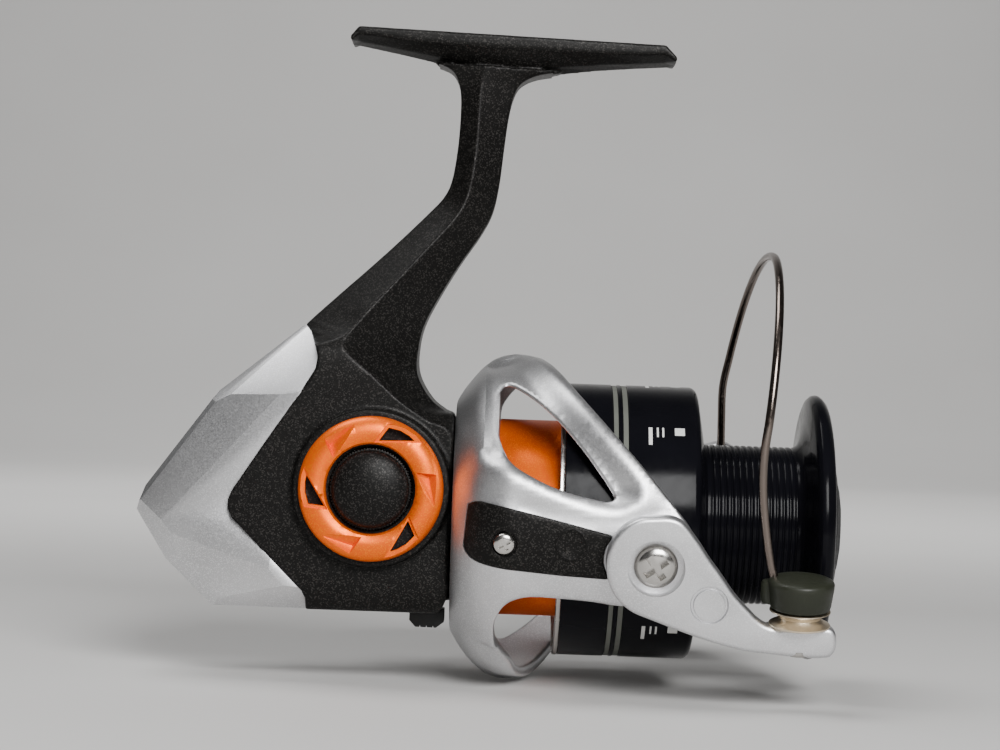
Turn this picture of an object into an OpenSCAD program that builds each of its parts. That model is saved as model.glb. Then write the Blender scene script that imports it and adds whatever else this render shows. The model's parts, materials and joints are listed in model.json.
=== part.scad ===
// Spinning reel, in millimetres.
// +X points along the spool axis to the front, +Z up towards the rod, and the handle is on +Y.
// The origin is the centre of the foot's seat face.

/* [Frame] */
// Depth of the spool axis below the foot's seat
axis_drop = 110; // [105:1:115]
// Roll of the rotor about the spool axis at rest
rotor_roll = 10.4; // [0:0.1:20]
// Facets on a full turn
facets = 72; // [48:12:120]

/* [Housing] */
// Half the body's width
body_half = 20; // [19:0.5:22]
// Wall thickness of the castings
wall = 2.4; // [2:0.1:2.8]
// Half the foot's width
foot_half = 7.5; // [7:0.25:9]
// Slope of the foot's seat, nose down
foot_slope = 1.63; // [0:0.01:2]
// Radius of the round nose that carries the roller clutch
nose_r = 19.8; // [19:0.1:20.4]

/* [Gears] */
// Crank axis, along X
crank_x = -27.7; // [-28:0.1:-27.4]
// Crank axis, above the spool axis
crank_z = 6.4; // [6:0.1:7]
// Teeth on the drive gear
gear_teeth = 45; // [45:9:45]
// Teeth on the pinion
pinion_teeth = 10; // [10:1:10]
// Distance from the crank axis to the mesh, along X
mesh_reach = 16.2; // [16:0.1:16.4]
// Teeth on the oscillation gear
osc_teeth = 30; // [30:1:30]
// Teeth on its small driving gear
osc_pinion_teeth = 12; // [12:1:12]
// Throw of the oscillation pin
osc_throw = 9; // [8:0.25:9.5]

/* [Rotor] */
// Outer radius of the rotor's arms
rotor_r = 37.5; // [37:0.1:38]
// Outer radius of the coloured drum
drum_r = 22.5; // [22:0.1:23]
// Bail pivot, along X
pivot_x = 34.9; // [34:0.1:36]
// Outer face of the bail arm, from the spool axis
lever_face = 43.2; // [42.8:0.1:43.6]
// Diameter of the bail wire
wire_d = 1.9; // [1.6:0.1:2.2]

/* [Spool] */
// Radius of the skirt
skirt_r = 31.2; // [30.8:0.1:31.4]
// Radius of the line well's floor
arbor_r = 18.2; // [17:0.1:19]
// Radius of the front lip
lip_r = 30.4; // [29.5:0.1:31]
// Radius of the main shaft
shaft_r = 2; // [1.9:0.05:2.1]

/* [Handle] */
// Crank radius
handle_reach = 62; // [58:1:66]
// Largest radius of the knob
knob_r = 11.5; // [10:0.5:13]

/* [Hidden] */
$fn = facets;
hairline = 0.05;
over = 1;
body_front = -10;
body_floor = -21.4;
nose_front = 6.4;
bearing_r = 9.5;
rotor_back = -9.6;
rotor_plate = 0;
cover_half = body_half;
cover_wall = 2.2;
taper_x = -60;
tip_x = -81.5;
tip_half = 13.2;
under_half = body_half - cover_wall - hairline;
under_floor = body_floor + cover_wall + hairline;
screw_seat_x = -79.8;
lever_x = -14.9;
lever_reach = 4;
pinion_r = mesh_reach * pinion_teeth / gear_teeth;
tooth_in = 0.55;
tooth_out = 0.45;
tooth_share = 0.16;
osc_module = 1;
osc_r = osc_module * osc_teeth / 2;
osc_pinion_r = osc_module * osc_pinion_teeth / 2;
osc_spacing = osc_r + osc_pinion_r + 0.12;
osc_z = -0.3;
osc_x = crank_x - sqrt(pow(osc_spacing, 2) - pow(crank_z - osc_z, 2));
slider_x = osc_x - osc_throw;
cover_screw_spots = [[-14.6, -13.8], [-38.4, -16], [-51.6, 3.4], [-29.5, 33.4]];
gear_face = pinion_r - tooth_in + 0.1;
gear_root = pinion_r + tooth_out + 0.3;
gear_back = gear_root + 2.8;

// Points on an arc, for outlines.
function arc(cx, cy, r, from, to, n) =
    [for (i = [0:n]) [cx + r * cos(from + (to - from) * i / n), cy + r * sin(from + (to - from) * i / n)]];

// Puts its children in the frame whose X axis is the spool axis.
module on_axis() {
    translate([0, 0, -axis_drop]) children();
}

// The same frame, rolled with the rotor.
module in_rotor() {
    on_axis() rotate([rotor_roll, 0, 0]) children();
}

// An (x, z) outline made solid from y0 to y1.
module slab(y0, y1) {
    translate([0, y1, 0]) rotate([90, 0, 0]) linear_extrude(y1 - y0) children();
}

// An (r, x) outline turned about the spool axis.
module turned() {
    rotate([0, 90, 0]) rotate_extrude() children();
}

// An (r, y) outline turned about a crosswise axis.
module turned_y(x, z) {
    translate([x, 0, z]) rotate([-90, 0, 0]) rotate_extrude() children();
}

// A plain tube on the spool axis.
module tube_x(x0, x1, r_in, r_out) {
    turned() polygon([[r_in, x0], [r_out, x0], [r_out, x1], [r_in, x1]]);
}

// A rod on the spool axis.
module rod_x(x0, x1, r) {
    translate([x0, 0, 0]) rotate([0, 90, 0]) cylinder(h = x1 - x0, r = r);
}

// A rod along Y.
module rod_y(x, z, y0, y1, r) {
    translate([x, y0, z]) rotate([-90, 0, 0]) cylinder(h = y1 - y0, r = r);
}

// A tube along Y.
module tube_y(x, z, y0, y1, r_in, r_out) {
    turned_y(x, z) polygon([[r_in, y0], [r_out, y0], [r_out, y1], [r_in, y1]]);
}

// A pan-head screw with a cross recess, its head at the origin and its shank along -Z.
module screw(head_r, head_h, shank_r, length) {
    difference() {
        union() {
            rotate_extrude() polygon([[0, 0], [head_r, 0], [head_r, head_h * 0.45],
                [head_r * 0.78, head_h * 0.85], [head_r * 0.4, head_h], [0, head_h]]);
            translate([0, 0, -length]) cylinder(h = length, r = shank_r);
        }
        for (turn = [0, 90])
            rotate([0, 0, turn]) translate([-head_r * 0.6, -head_r * 0.13, head_h * 0.4])
                cube([head_r * 1.2, head_r * 0.26, head_h]);
    }
}

// ---- Housing ----

function foot_top(x) = axis_drop - x * tan(foot_slope);

// Outline of the foot, stem and body, seen from the side.
function body_outline() = concat(
    [[-34.8, foot_top(-34.8)], [35.3, foot_top(35.3)], [38.1, 105.6], [37.8, 104.8], [29.7, 104.3],
     [20.4, 103.4], [8.9, 102], [5, 101], [2.6, 99.5], [1, 97.2], [0.2, 93.8], [-1.4, 80]],
    [[-1.8, 75], [-3.2, 69.4], [-6.6, 62.6], [-14.4, 50], [-17.6, 43.4], [-18.8, 37.6], [-18.3, 31.5]],
    [[-15.4, 26.6], [-12, 24], [body_front, 23.6], [body_front, -19.4], [-12, body_floor]],
    [[-41.9, body_floor], [-41.9, under_floor], [-63, under_floor]],
    [[-72.6, -11], [-78.2, -0.8], [-76.4, 4.2], [-61.3, 24.7], [-45, 38.2], [-42.8, 40.2], [-43.4, 41.1]],
    [[-45.3, 41.8], [-30.9, 55.4], [-17.5, 69], [-14.2, 72.8], [-12.7, 76.6], [-11.5, 84], [-11.2, 91],
     [-11, 96.8], [-11.6, 100.3], [-13.1, 102], [-15.4, 103.3], [-21.2, 104.7], [-36.8, 107.2],
     [-36.8, 108]]);

// Line between the body's exposed side and the rear cover.
function seam_outline() = concat(
    [[-43.5, 41], [-40.9, 36.2], [-40.6, 33.4], [-44.2, 26.4], [-52.5, 14.6], [-59.2, 4.4], [-59.6, 1],
     [-57.4, -2.8], [-49.3, -10.7], [-42.6, -17.2], [-42, -21.5]]);

// Width of the stem and body against height.
module front_view() {
    polygon(concat(
        [[-foot_half, 113], [-foot_half, 104.4], [-6.2, 102.4], [-6, 100], [-6.4, 80], [-7.4, 70],
         [-10, 58], [-14.5, 46], [-18.6, 36], [-body_half, 28], [-body_half, -15], [-16, -24]],
        [[16, -24], [body_half, -15], [body_half, 28], [18.6, 36], [14.5, 46], [10, 58], [7.4, 70],
         [6.4, 80], [6, 100], [6.2, 102.4], [foot_half, 104.4], [foot_half, 113]]));
}

// Inside of the body, seen from the side.
module cavity_outline() {
    polygon([[-9.9, 16], [-9.9, -12], [-14, body_floor + wall + 0.6], [-60, body_floor + cover_wall + wall],
        [-70, -10.6], [-75.4, -0.6], [-59.8, 22.6], [-44, 34], [-30, 36], [-20, 29], [-14, 20]]);
}

// Block that narrows towards the rear tip, set in from the outside by a margin.
module rear_taper(m) {
    translate([0, 0, -40]) linear_extrude(170) polygon([[60, -30], [taper_x, -30], [taper_x, -body_half + m],
        [tip_x, -tip_half + m], [tip_x, tip_half - m], [taper_x, body_half - m], [taper_x, 30], [60, 30]]);
}

module main_body() {
    color([0.13, 0.13, 0.13]) on_axis() difference() {
        union() {
            intersection() {
                slab(-body_half - over, body_half + over) polygon(body_outline());
                translate([-90, 0, 0]) rotate([90, 0, 90]) linear_extrude(140) front_view();
                rear_taper(cover_wall + hairline);
            }
            rod_x(-11, nose_front, nose_r);
            tube_y(crank_x, crank_z, -body_half - 3.4, -body_half + 1, 10, 17.4);
        }
        // Sides stepped in where the rear cover lies.
        for (side = [-1, 1])
            slab(side < 0 ? -body_half - over : under_half, side < 0 ? -under_half : body_half + over)
                polygon(concat(seam_outline(), [[-90, -30], [-90, 41]]));
        // Gear case, wider where the rear cover does not lie, and open on the handle side.
        intersection() {
            slab(-under_half + wall, under_half - wall) cavity_outline();
            rear_taper(cover_wall + hairline + wall);
        }
        intersection() {
            slab(-body_half + wall, body_half - wall) cavity_outline();
            translate([-40, -30, -30]) cube([40, 60, 90]);
        }
        slab(0, body_half + over) side_cover_outline(-1.6);
        // Step that holds the side cover.
        slab(body_half - 2.2, body_half + over) side_cover_outline(0.05);
        // Room for the rim of the drive gear.
        rod_y(crank_x, crank_z, gear_face - 0.4, gear_back + 0.4, 19.3);
        rod_x(-12, -7, 8.4);
        rod_x(-7.2, nose_front + over, bearing_r + hairline);
        rod_x(-2, nose_front + over, 14);
        rod_y(crank_x, crank_z, -body_half - 6, -10, 9);
        translate([lever_x, 0, body_floor - over]) cylinder(h = 12, r = 2.05);
        rod_x(-80, -73, 1.6);
        rod_y(osc_x, osc_z, -16.65, 0, 2);
        for (p = cover_screw_spots) rod_y(p[0], p[1], body_half - 6, body_half + 2, 1.55);
    }
    // Ribs that carry the bearings, axles and rear bush.
    color([0.13, 0.13, 0.13]) on_axis() {
        tube_y(crank_x, crank_z, -body_half + wall, -13, 9.55, 11.5);
        difference() {
            intersection() {
                slab(-under_half + 1, -13) polygon([[-74, 5], [-74, -5], [osc_x + 6, -6], [osc_x + 6, 6]]);
                rear_taper(cover_wall + wall);
            }
            rod_y(osc_x, osc_z, -16.65, 0, 2);
        }
    }
}

// Outline of the side cover, grown outwards by a margin.
module side_cover_outline(m) {
    polygon([[-11 + m, 22.2 + m], [-11 + m, -14.3 - m], [-14.1 + m, body_floor + 1.5 - m],
        [-39.4 - m, body_floor + 1.5 - m], [-55.4 - m, -2 - m], [-56.8 - m, 2], [-40.8 - m, 27 + m],
        [-36.9 - m, 36.9 + m], [-22.3 + m, 36.9 + m], [-19.1 + m, 28 + m]]);
}

module side_cover() {
    color([0.14, 0.14, 0.14]) on_axis() difference() {
        union() {
            slab(body_half - 2.15, body_half) side_cover_outline(0);
            rod_y(crank_x, crank_z, body_half - 7, body_half + 4.4, 12);
        }
        rod_y(crank_x, crank_z, body_half - 8, body_half + 6, 9.55);
        for (p = cover_screw_spots) rod_y(p[0], p[1], body_half - 4, body_half + 2, 1.55);
    }
}

module rear_cover() {
    color([0.66, 0.67, 0.69]) on_axis() difference() {
        intersection() {
            slab(-cover_half, cover_half) polygon(concat(seam_outline(), [[-63.4, body_floor - 0.1],
                [-73.9, -11.4], [-81.2, -0.6], [-79.2, 4.8], [-63.1, 26.7], [-45.4, 41.6]]));
            rear_taper(0);
            translate([-90, 0, 0]) rotate([90, 0, 90]) linear_extrude(140) polygon([
                [-cover_half, 30], [-cover_half, -13], [-14, -22], [14, -22], [cover_half, -13],
                [cover_half, 30], [13, 43], [-13, 43]]);
        }
        intersection() {
            slab(-under_half - hairline, under_half + hairline)
                polygon(concat([[-30, 60], [-30, under_floor - hairline], [-63.1, under_floor - hairline],
                    [-72.8, -11.1], [-78.4, -0.8], [-76.6, 4.3], [-61.4, 24.9], [-45.1, 38.4],
                    [-42.9, 40.4], [-40, 44]]));
            rear_taper(cover_wall);
        }
        rod_x(-90, -70, 1.6);
        rod_x(-90, screw_seat_x, 2.8);
    }
}

module trim_ring() {
    color([0.93, 0.42, 0.08]) on_axis() difference() {
        turned_y(crank_x, crank_z) polygon([[9.95, -body_half - 6.2], [12, -body_half - 7],
            [14.6, -body_half - 6.6], [16.1, -body_half - 5], [16.1, -body_half - 3.45],
            [9.95, -body_half - 3.45]]);
        for (k = [0:2])
            translate([crank_x, 0, crank_z]) rotate([0, -66 - 120 * k, 0]) translate([13.1, -22, 0])
                rotate([90, 0, 0]) linear_extrude(8) polygon([[-2.2, -3], [1.8, -1.4], [-1.6, 3.2]]);
    }
}

module handle_hole_cap() {
    color([0.08, 0.08, 0.08]) on_axis() {
        turned_y(crank_x, crank_z) polygon([[0, -body_half - 8.6], [3, -body_half - 8.4],
            [6, -body_half - 7.7], [8.4, -body_half - 6.4], [9.3, -body_half - 5], [9.3, -body_half - 3.5],
            [8.6, -body_half - 3.5], [8.6, -body_half + 1], [0, -body_half + 1]]);
    }
}

module side_cover_screws() {
    color("silver") on_axis() for (p = cover_screw_spots)
        translate([p[0], body_half + 0.05, p[1]]) rotate([-90, 0, 0]) screw(2.6, 1.3, 1.5, 3.6);
}

module rear_cover_screw() {
    color("silver") on_axis() translate([screw_seat_x - 0.03, 0, 0]) rotate([0, -90, 0])
        screw(2.6, 1.3, 1.5, 4.6);
}

// Shielded ball bearing: two races with a shallow groove each side.
module bearing(inner, outer, width) {
    rotate_extrude() polygon([[inner, 0], [inner + 0.9, 0], [inner + 1.1, 0.3], [outer - 1.1, 0.3],
        [outer - 0.9, 0], [outer, 0], [outer, width], [outer - 0.9, width], [outer - 1.1, width - 0.3],
        [inner + 1.1, width - 0.3], [inner + 0.9, width], [inner, width]]);
}

module drive_bearing_near() {
    color("silver") on_axis() translate([crank_x, -17.4, crank_z]) rotate([-90, 0, 0])
        bearing(4.05, 9.5, 4);
}

module drive_bearing_far() {
    color("silver") on_axis() translate([crank_x, 14, crank_z]) rotate([-90, 0, 0])
        bearing(4.05, 9.5, 5);
}

module pinion_bearing() {
    color("silver") on_axis() translate([-7.1, 0, 0]) rotate([0, 90, 0]) bearing(3.05, 9.5, 4.9);
}

module pinion_bush() {
    color([0.7, 0.55, 0.3]) on_axis() tube_x(-23.6, -20.4, 2.06, 2.8);
}

module roller_clutch() {
    color("gainsboro") on_axis() {
        difference() {
            tube_x(-1.9, 4.6, 7.6, 13.9);
            for (k = [0:5]) rotate([60 * k, 0, 0]) translate([0, 0, 8.3]) rod_x(-1, 3.9, 1.35);
        }
        for (k = [0:5]) rotate([60 * k, 0, 0]) translate([0, 0, 8.32]) rod_x(-0.9, 3.8, 1.15);
    }
}

module clutch_retainer() {
    color([0.3, 0.3, 0.3]) on_axis() difference() {
        tube_x(4.7, nose_front, 6.8, 13.9);
        for (k = [0:2]) rotate([120 * k + 30, 0, 0]) translate([0, 0, 12]) rod_x(4, 8, 0.85);
    }
}

module clutch_screws() {
    color("silver") on_axis() for (k = [0:2]) rotate([120 * k + 30, 0, 0])
        translate([nose_front + 0.02, 0, 12]) rotate([0, 90, 0]) screw(1.5, 0.6, 0.8, 1.6);
}

module guide_rods() {
    color("silver") on_axis() for (z = [-13.2, 12.6])
        translate([0, -3, z]) rod_x(z > 0 ? -62 : -60, z > 0 ? -34 : -30, 1.3);
}

module oscillation_axle() {
    color("silver") on_axis() rod_y(osc_x, osc_z, -16.6, -8.9, 1.95);
}

module anti_reverse_lever() {
    color([0.07, 0.07, 0.07]) on_axis() {
        slab(-2.8, 2.8) translate([lever_x, 0]) polygon([[-lever_reach, body_floor - 0.3],
            [-lever_reach, -24.4], [-lever_reach + 1.4, -25.9], [lever_reach - 1.8, -26],
            [lever_reach, -24.6], [lever_reach, body_floor - 0.3]]);
        translate([lever_x, 0, body_floor - 0.8]) cylinder(h = 7, r = 2);
    }
}

// ---- Crank ----

// Face gear. Each tooth lies along a line that passes the gear's centre at the crank's offset.
module drive_gear() {
    half_tooth = tooth_share * 2 * PI * mesh_reach / gear_teeth;
    color([0.75, 0.72, 0.66]) on_axis() difference() {
        union() {
            tube_y(crank_x, crank_z, gear_root, gear_back, 4, 18.8);
            tube_y(crank_x, crank_z, gear_back - 0.1, 13.4, 4, 7);
            intersection() {
                tube_y(crank_x, crank_z, gear_face, gear_root + 0.2, 15, 18.8);
                translate([crank_x, 0, crank_z]) union() {
                    for (k = [0:gear_teeth - 1])
                        rotate([0, 360 * k / gear_teeth, 0])
                            translate([10, gear_face - over, -crank_z])
                                rotate([-90, 0, 0]) linear_extrude(gear_root - gear_face + 1.1)
                                    polygon([[-2, -half_tooth * 0.8], [10, -half_tooth], [10, half_tooth],
                                        [-2, half_tooth * 0.8]]);
                }
            }
        }
        for (k = [0:5]) rotate_about_crank(60 * k)
            rod_y(crank_x + 11, crank_z, 0, 12, 2.4);
    }
}

module rotate_about_crank(angle) {
    translate([crank_x, 0, crank_z]) rotate([0, angle, 0]) translate([-crank_x, 0, -crank_z]) children();
}

module drive_shaft() {
    color("silver") on_axis() {
        rod_y(crank_x, crank_z, -13.6, 13.5, 3.95);
        rod_y(crank_x, crank_z, -17.3, -13.6, 4);
        rod_y(crank_x, crank_z, 13.5, 26, 4);
        rod_y(crank_x, crank_z, 26, 33, 3.4);
    }
}

// Outline of a spur gear.
function gear_outline(teeth, r, up, down, thick) = [for (k = [0:teeth - 1]) for (c = [
    [r - down, -0.34], [r, -thick / 2], [r + up, -thick * 0.27],
    [r + up, thick * 0.27], [r, thick / 2], [r - down, 0.34]])
    [c[0] * cos((k + c[1]) * 360 / teeth), c[0] * sin((k + c[1]) * 360 / teeth)]];

module oscillation_drive_gear() {
    color([0.8, 0.75, 0.6]) on_axis() difference() {
        slab(-12.6, -9.2) translate([crank_x, crank_z])
            rotate(180 + atan2(crank_z - osc_z, crank_x - osc_x))
                polygon(gear_outline(osc_pinion_teeth, osc_pinion_r, 0.85, 1.15, 0.42));
        rod_y(crank_x, crank_z, -14, -8, 4.0);
    }
}

module handle_arm() {
    color([0.7, 0.71, 0.72]) on_axis() difference() {
        union() {
            translate([0, 0, crank_z]) rotate([0, 0, 0]) linear_extrude(9, center = true) polygon([
                [crank_x - 6, 26.4], [crank_x + 7, 26.4], [crank_x + 13, 30.4], [crank_x + 16, 38.6],
                [crank_x + 22, 46.2], [crank_x + handle_reach + 5, 50.2], [crank_x + handle_reach + 5, 54.4],
                [crank_x + 19, 50], [crank_x + 9.6, 41.6], [crank_x + 6, 34], [crank_x - 6, 33]]);
            rod_y(crank_x, crank_z, 25.4, 34, 7.4);
        }
        rod_y(crank_x, crank_z, 20, 33.05, 4);
        rod_y(crank_x, crank_z, 30, 36, 2);
        rod_y(crank_x + handle_reach, crank_z, 40, 60, 2);
    }
}

module handle_screw() {
    color("silver") on_axis() translate([crank_x, 34.02, crank_z]) rotate([-90, 0, 0])
        screw(4.2, 1.8, 1.95, 0.95);
}

module knob_shaft() {
    color("silver") on_axis() {
        rod_y(crank_x + handle_reach, crank_z, 49, 80, 1.98);
        rod_y(crank_x + handle_reach, crank_z, 54.6, 56, 4);
    }
}

module handle_knob() {
    color([0.1, 0.1, 0.1]) on_axis() turned_y(crank_x + handle_reach, crank_z) polygon(concat(
        [[2.06, 56.3], [6, 56.3], [7.4, 57.4], [7, 61], [8.2, 66], [10.4, 71.5], [knob_r, 77]],
        [[knob_r - 0.4, 82], [9, 86], [5, 86], [5, 81], [2.06, 81]]));
}

module knob_cap() {
    color("silver") on_axis() turned_y(crank_x + handle_reach, crank_z) polygon([[0, 84.2], [4.95, 84.2],
        [4.95, 86.6], [3, 87.5], [0, 87.8]]);
}

// ---- Rotor ----

// Side view of one arm with its strut, in the rotor's frame.
function arm_outline() = concat(
    [[-1, 38.4], [8, 38.4], [12, 36.6], [16.5, 34.4], [22.5, 29.4], [31.1, 20.8], [37.7, 13.5]],
    arc(pivot_x, 0, 9.1, 62, -100, 12),
    [[26.5, -10.6], [14.9, -9.6], [8.3, -9.2], [4.5, -10.3], [1.9, -13], [0.6, -17.6], [-1, -24]]);

function window_outline() = [[-0.3, 27.7], [-0.4, 32.4], [0.6, 34.6], [2.4, 35.2], [5.6, 34.2], [11.2, 30.8],
    [17.9, 24.4], [22.4, 18.9], [25.2, 15], [25.6, 13.4], [24.4, 12.7], [22.6, 12.9], [13.9, 14.9],
    [7.3, 17.6], [3.3, 20.3], [0.9, 24]];

function cover_outline() = [[-5.9, 15.8], [-3.8, 17.5], [0.8, 16.5], [14, 12], [24.9, 8.2], [23.9, 4],
    [23.8, -1], [24.8, -5.9], [14.7, -5.4], [-3.4, -3.2], [-5.4, -1.8], [-6.4, 2]];

function spring_pocket() = [[5.4, spring_z - 1.6], [20.6, spring_z - 1.6], [20.6, spring_z + 1.6],
    [5.4, spring_z + 1.6]];
spring_y = -36.1;
spring_z = 0;

module rotor() {
    color([0.66, 0.67, 0.69]) in_rotor() difference() {
        union() {
            // Rear band and its plate.
            turned() polygon([[24.6, rotor_back], [26.4, rotor_back], [31.6, -6], [35.4, -2.4],
                [rotor_r - 0.9, 0.2], [rotor_r - 0.6, 1.2], [33.2, 1.2], [32.8, rotor_plate],
                [21.4, rotor_plate],
                [21.4, -2.4], [30, -2.4], [24.6, -6.6]]);
            tube_x(-2.4, 10.4, 20.9, 21.6);
            tube_x(7.6, 10.4, 4.05, 21.3);
            tube_x(6.9, 10.4, 4.05, 7);
            for (side = [0, 180]) rotate([side, 0, 0]) {
                intersection() {
                    tube_x(-1, 50, 34, rotor_r);
                    slab(-40, 0) polygon(arm_outline());
                }
                rod_y(pivot_x, 0, -38.6, -34.4, 9.6);
            }
        }
        for (side = [0, 180]) rotate([side, 0, 0]) {
            slab(-44, -0.5) polygon(window_outline());
            intersection() {
                tube_x(-7, 30, 36.4, 45);
                slab(-45, -20) polygon(cover_outline());
            }
            slab(-45, -34.6) polygon(spring_pocket());
            rod_y(2.2, 2.9, -38, -30, 1.05);
            rod_y(pivot_x, 0, -39, -34, 2.05);
        }
    }
}

module drum_ring() {
    color([0.93, 0.42, 0.08]) in_rotor() turned() polygon([[21.65, 0.05], [drum_r, 0.05], [drum_r, 37.6],
        [drum_r - 0.4, 38], [20.9, 38], [20.9, 10.5], [21.65, 10.5]]);
}

module pinion_gear() {
    phase = pinion_phase;
    color([0.8, 0.7, 0.4]) on_axis() difference() {
        union() {
            rotate([phase, 0, 0]) translate([-15.6, 0, 0]) rotate([0, 90, 0])
                linear_extrude(7.2) polygon(gear_outline(pinion_teeth, pinion_r, tooth_out, 0.62, 0.34));
            rod_x(-8.5, -7.9, 3.6);
            rod_x(-20, -15.5, 2.75);
            rod_x(-8, 6.85, 3);
            rod_x(6.8, 14.4, 4);
        }
        rod_x(-30, 20, shaft_r + 0.06);
    }
}
pinion_phase = 0;

module clutch_sleeve() {
    color("gainsboro") on_axis() tube_x(-1.8, 6.6, 3.05, 6.6);
}

module rotor_nut() {
    color([0.8, 0.7, 0.4]) in_rotor() difference() {
        translate([10.5, 0, 0]) rotate([0, 90, 0]) cylinder(h = 3, r = 7.6, $fn = 6);
        rod_x(9, 15, 4.05);
    }
}

module nut_lock_plate() {
    color("silver") in_rotor() difference() {
        union() {
            tube_x(13.6, 14.3, 4.1, 7.2);
            translate([13.6, -3, 5]) cube([0.7, 6, 8]);
            translate([10.5, -3, 11]) cube([3.2, 6, 1.2]);
        }
        rod_x(9, 15, 4.1);
    }
}

module arm_covers() {
    color([0.12, 0.12, 0.12]) in_rotor() for (side = [0, 180]) rotate([side, 0, 0]) difference() {
        intersection() {
            tube_x(-7, 30, 36.45, 38.3);
            slab(-45, -20) polygon([for (p = cover_outline()) [9.4 + (p[0] - 9.4) * 0.985,
                5.6 + (p[1] - 5.6) * 0.975]]);
        }
        slab(-37.6, -30) polygon(spring_pocket());
        rod_y(2.2, 2.9, -45, -30, 1.25);
        rod_y(2.2, 2.9, -45, -37, 2.7);
    }
}

module arm_cover_screws() {
    color("silver") in_rotor() for (side = [0, 180]) rotate([side, 0, 0])
        translate([2.2, -37.05, 2.9]) rotate([90, 0, 0]) screw(2.5, 1.1, 1, 4);
}

module pivot_screws() {
    color("silver") in_rotor() for (side = [0, 180]) rotate([side, 0, 0])
        translate([pivot_x, -41.2, 0]) rotate([90, 0, 0]) screw(4.4, 1.6, 2, 6.5);
}

// Bail spring, coiled along the near arm behind its cover.
spring_turns = 7;
spring_steps = 12;
spring_length = 14;
spring_r = 1.1;
spring_wire_r = 0.3;
spring_sides = 6;
function spring_ring(i) = let (a = 360 * i / spring_steps)
    [for (j = [0:spring_sides - 1]) let (b = 360 * j / spring_sides, r = spring_r + spring_wire_r * cos(b))
        [spring_length * i / (spring_turns * spring_steps) + spring_wire_r * sin(b), r * cos(a), r * sin(a)]];

module bail_spring() {
    rings = spring_turns * spring_steps;
    n = spring_sides;
    color("silver") in_rotor() translate([6, spring_y, spring_z]) polyhedron(
        points = [for (i = [0:rings]) for (p = spring_ring(i)) p],
        faces = concat([[for (j = [0:n - 1]) j]], [[for (j = [0:n - 1]) rings * n + n - 1 - j]],
            [for (i = [0:rings - 1]) for (j = [0:n - 1]) for (half = [0, 1])
                half == 0 ? [i * n + j, (i + 1) * n + j, (i + 1) * n + (j + 1) % n]
                    : [i * n + j, (i + 1) * n + (j + 1) % n, i * n + (j + 1) % n]]));
}

// ---- Bail ----

function lever_outline() = concat(
    arc(pivot_x, 0, 10.8, 70, 220, 14),
    [[29.6, -9.4], [34.2, -11.6], [45.1, -15.5], [53.8, -17.7], [58.2, -18.2], [66.8, -18.8]],
    arc(72.4, -16.6, 2, 270, 360, 3),
    arc(72.4, -14.3, 2, 0, 90, 3),
    [[59.8, -12.3], [57.6, -11], [55.4, -8.6], [52.1, -5.2], [46.4, 2], [43.6, 6.6]]);

module bail_arm() {
    color([0.66, 0.67, 0.69]) in_rotor() difference() {
        union() {
            slab(-lever_face, -38.95) polygon(lever_outline());
            // Roller seat at the tip.
            slab(-44.4, -36.4) polygon([[58.4, -17.6], [66.4, -18.7], [73.6, -18.4], [74.4, -15],
                [74.2, -12.9], [72.9, -12.3], [60.4, -12.3], [58.4, -13.6]]);
        }
        rod_y(pivot_x, 0, -45, -41.15, 5.7);
        rod_y(pivot_x, 0, -45, -38, 2.07);
        translate([66.4, -40.4, -20]) cylinder(h = 9, r = 1.75);
        translate([66.4, -40.4, -20]) cylinder(h = 2.6, r = 2.9);
    }
}

// Route of the bail wire in the rotor's frame.
wire_bend = 25;
wire_span = 38;
wire_steps = 24;
function wire_x(t) = 57.2 + 4 * sin(t) + (t > 90 ? -2.8 * (t - 90) / 90 : 0);
function wire_route() = concat(
    [[63, -38.4, -4.4], [61, -38.4, 0], [58.8, -38.3, 8], [57.4, -38.1, 17]],
    [for (i = [0:wire_steps]) let (t = 180 * i / wire_steps)
        [wire_x(t), -wire_span * cos(t), wire_bend + 37.2 * sin(t)]],
    [[54.5, 38.3, 17], [54.8, 38.4, 11], [54.8, 38.6, 8.4]]);

function unit(v) = v / norm(v);
function wire_ring(i, route) = let (
    last = len(route) - 1,
    along = unit(route[min(i + 1, last)] - route[max(i - 1, 0)]),
    side = unit(cross(along, [1, 0, 0.001])),
    up = cross(side, along))
    [for (j = [0:11]) route[i] + wire_d / 2 * (side * cos(30 * j) + up * sin(30 * j))];

module bail_wire() {
    route = wire_route();
    rings = len(route) - 1;
    color([0.45, 0.42, 0.4]) in_rotor() polyhedron(
        points = [for (i = [0:rings]) for (p = wire_ring(i, route)) p],
        faces = concat([[for (j = [0:11]) 11 - j]], [[for (j = [0:11]) rings * 12 + j]],
            [for (i = [0:rings - 1]) for (j = [0:11])
                [i * 12 + j, i * 12 + (j + 1) % 12, (i + 1) * 12 + (j + 1) % 12, (i + 1) * 12 + j]]));
}

module wire_holder() {
    color([0.22, 0.24, 0.19]) in_rotor() difference() {
        translate([66.4, -40.4, 0]) rotate_extrude() polygon([[0, -8.3], [5.6, -8.3], [6.6, -7.4],
            [7.2, -5], [6.4, -2.6], [4.4, -1.5], [0, -1.3]]);
        translate([66.4, -40.4, -12]) cylinder(h = 8, r = 1.75);
        translate([62.6, -38.4, -5.4]) cylinder(h = 10, r = wire_d / 2 + 1.1);
    }
}

module roller_screw() {
    color("silver") in_rotor() translate([66.4, -40.4, -17.4]) rotate([180, 0, 0]) screw(2.8, 1.4, 1.7, 13);
}

module roller_bush() {
    color([0.7, 0.55, 0.3]) in_rotor() translate([66.4, -40.4, -12.28]) difference() {
        cylinder(h = 3.9, r = 2.4);
        translate([0, 0, -1]) cylinder(h = 6, r = 1.75);
    }
}

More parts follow.
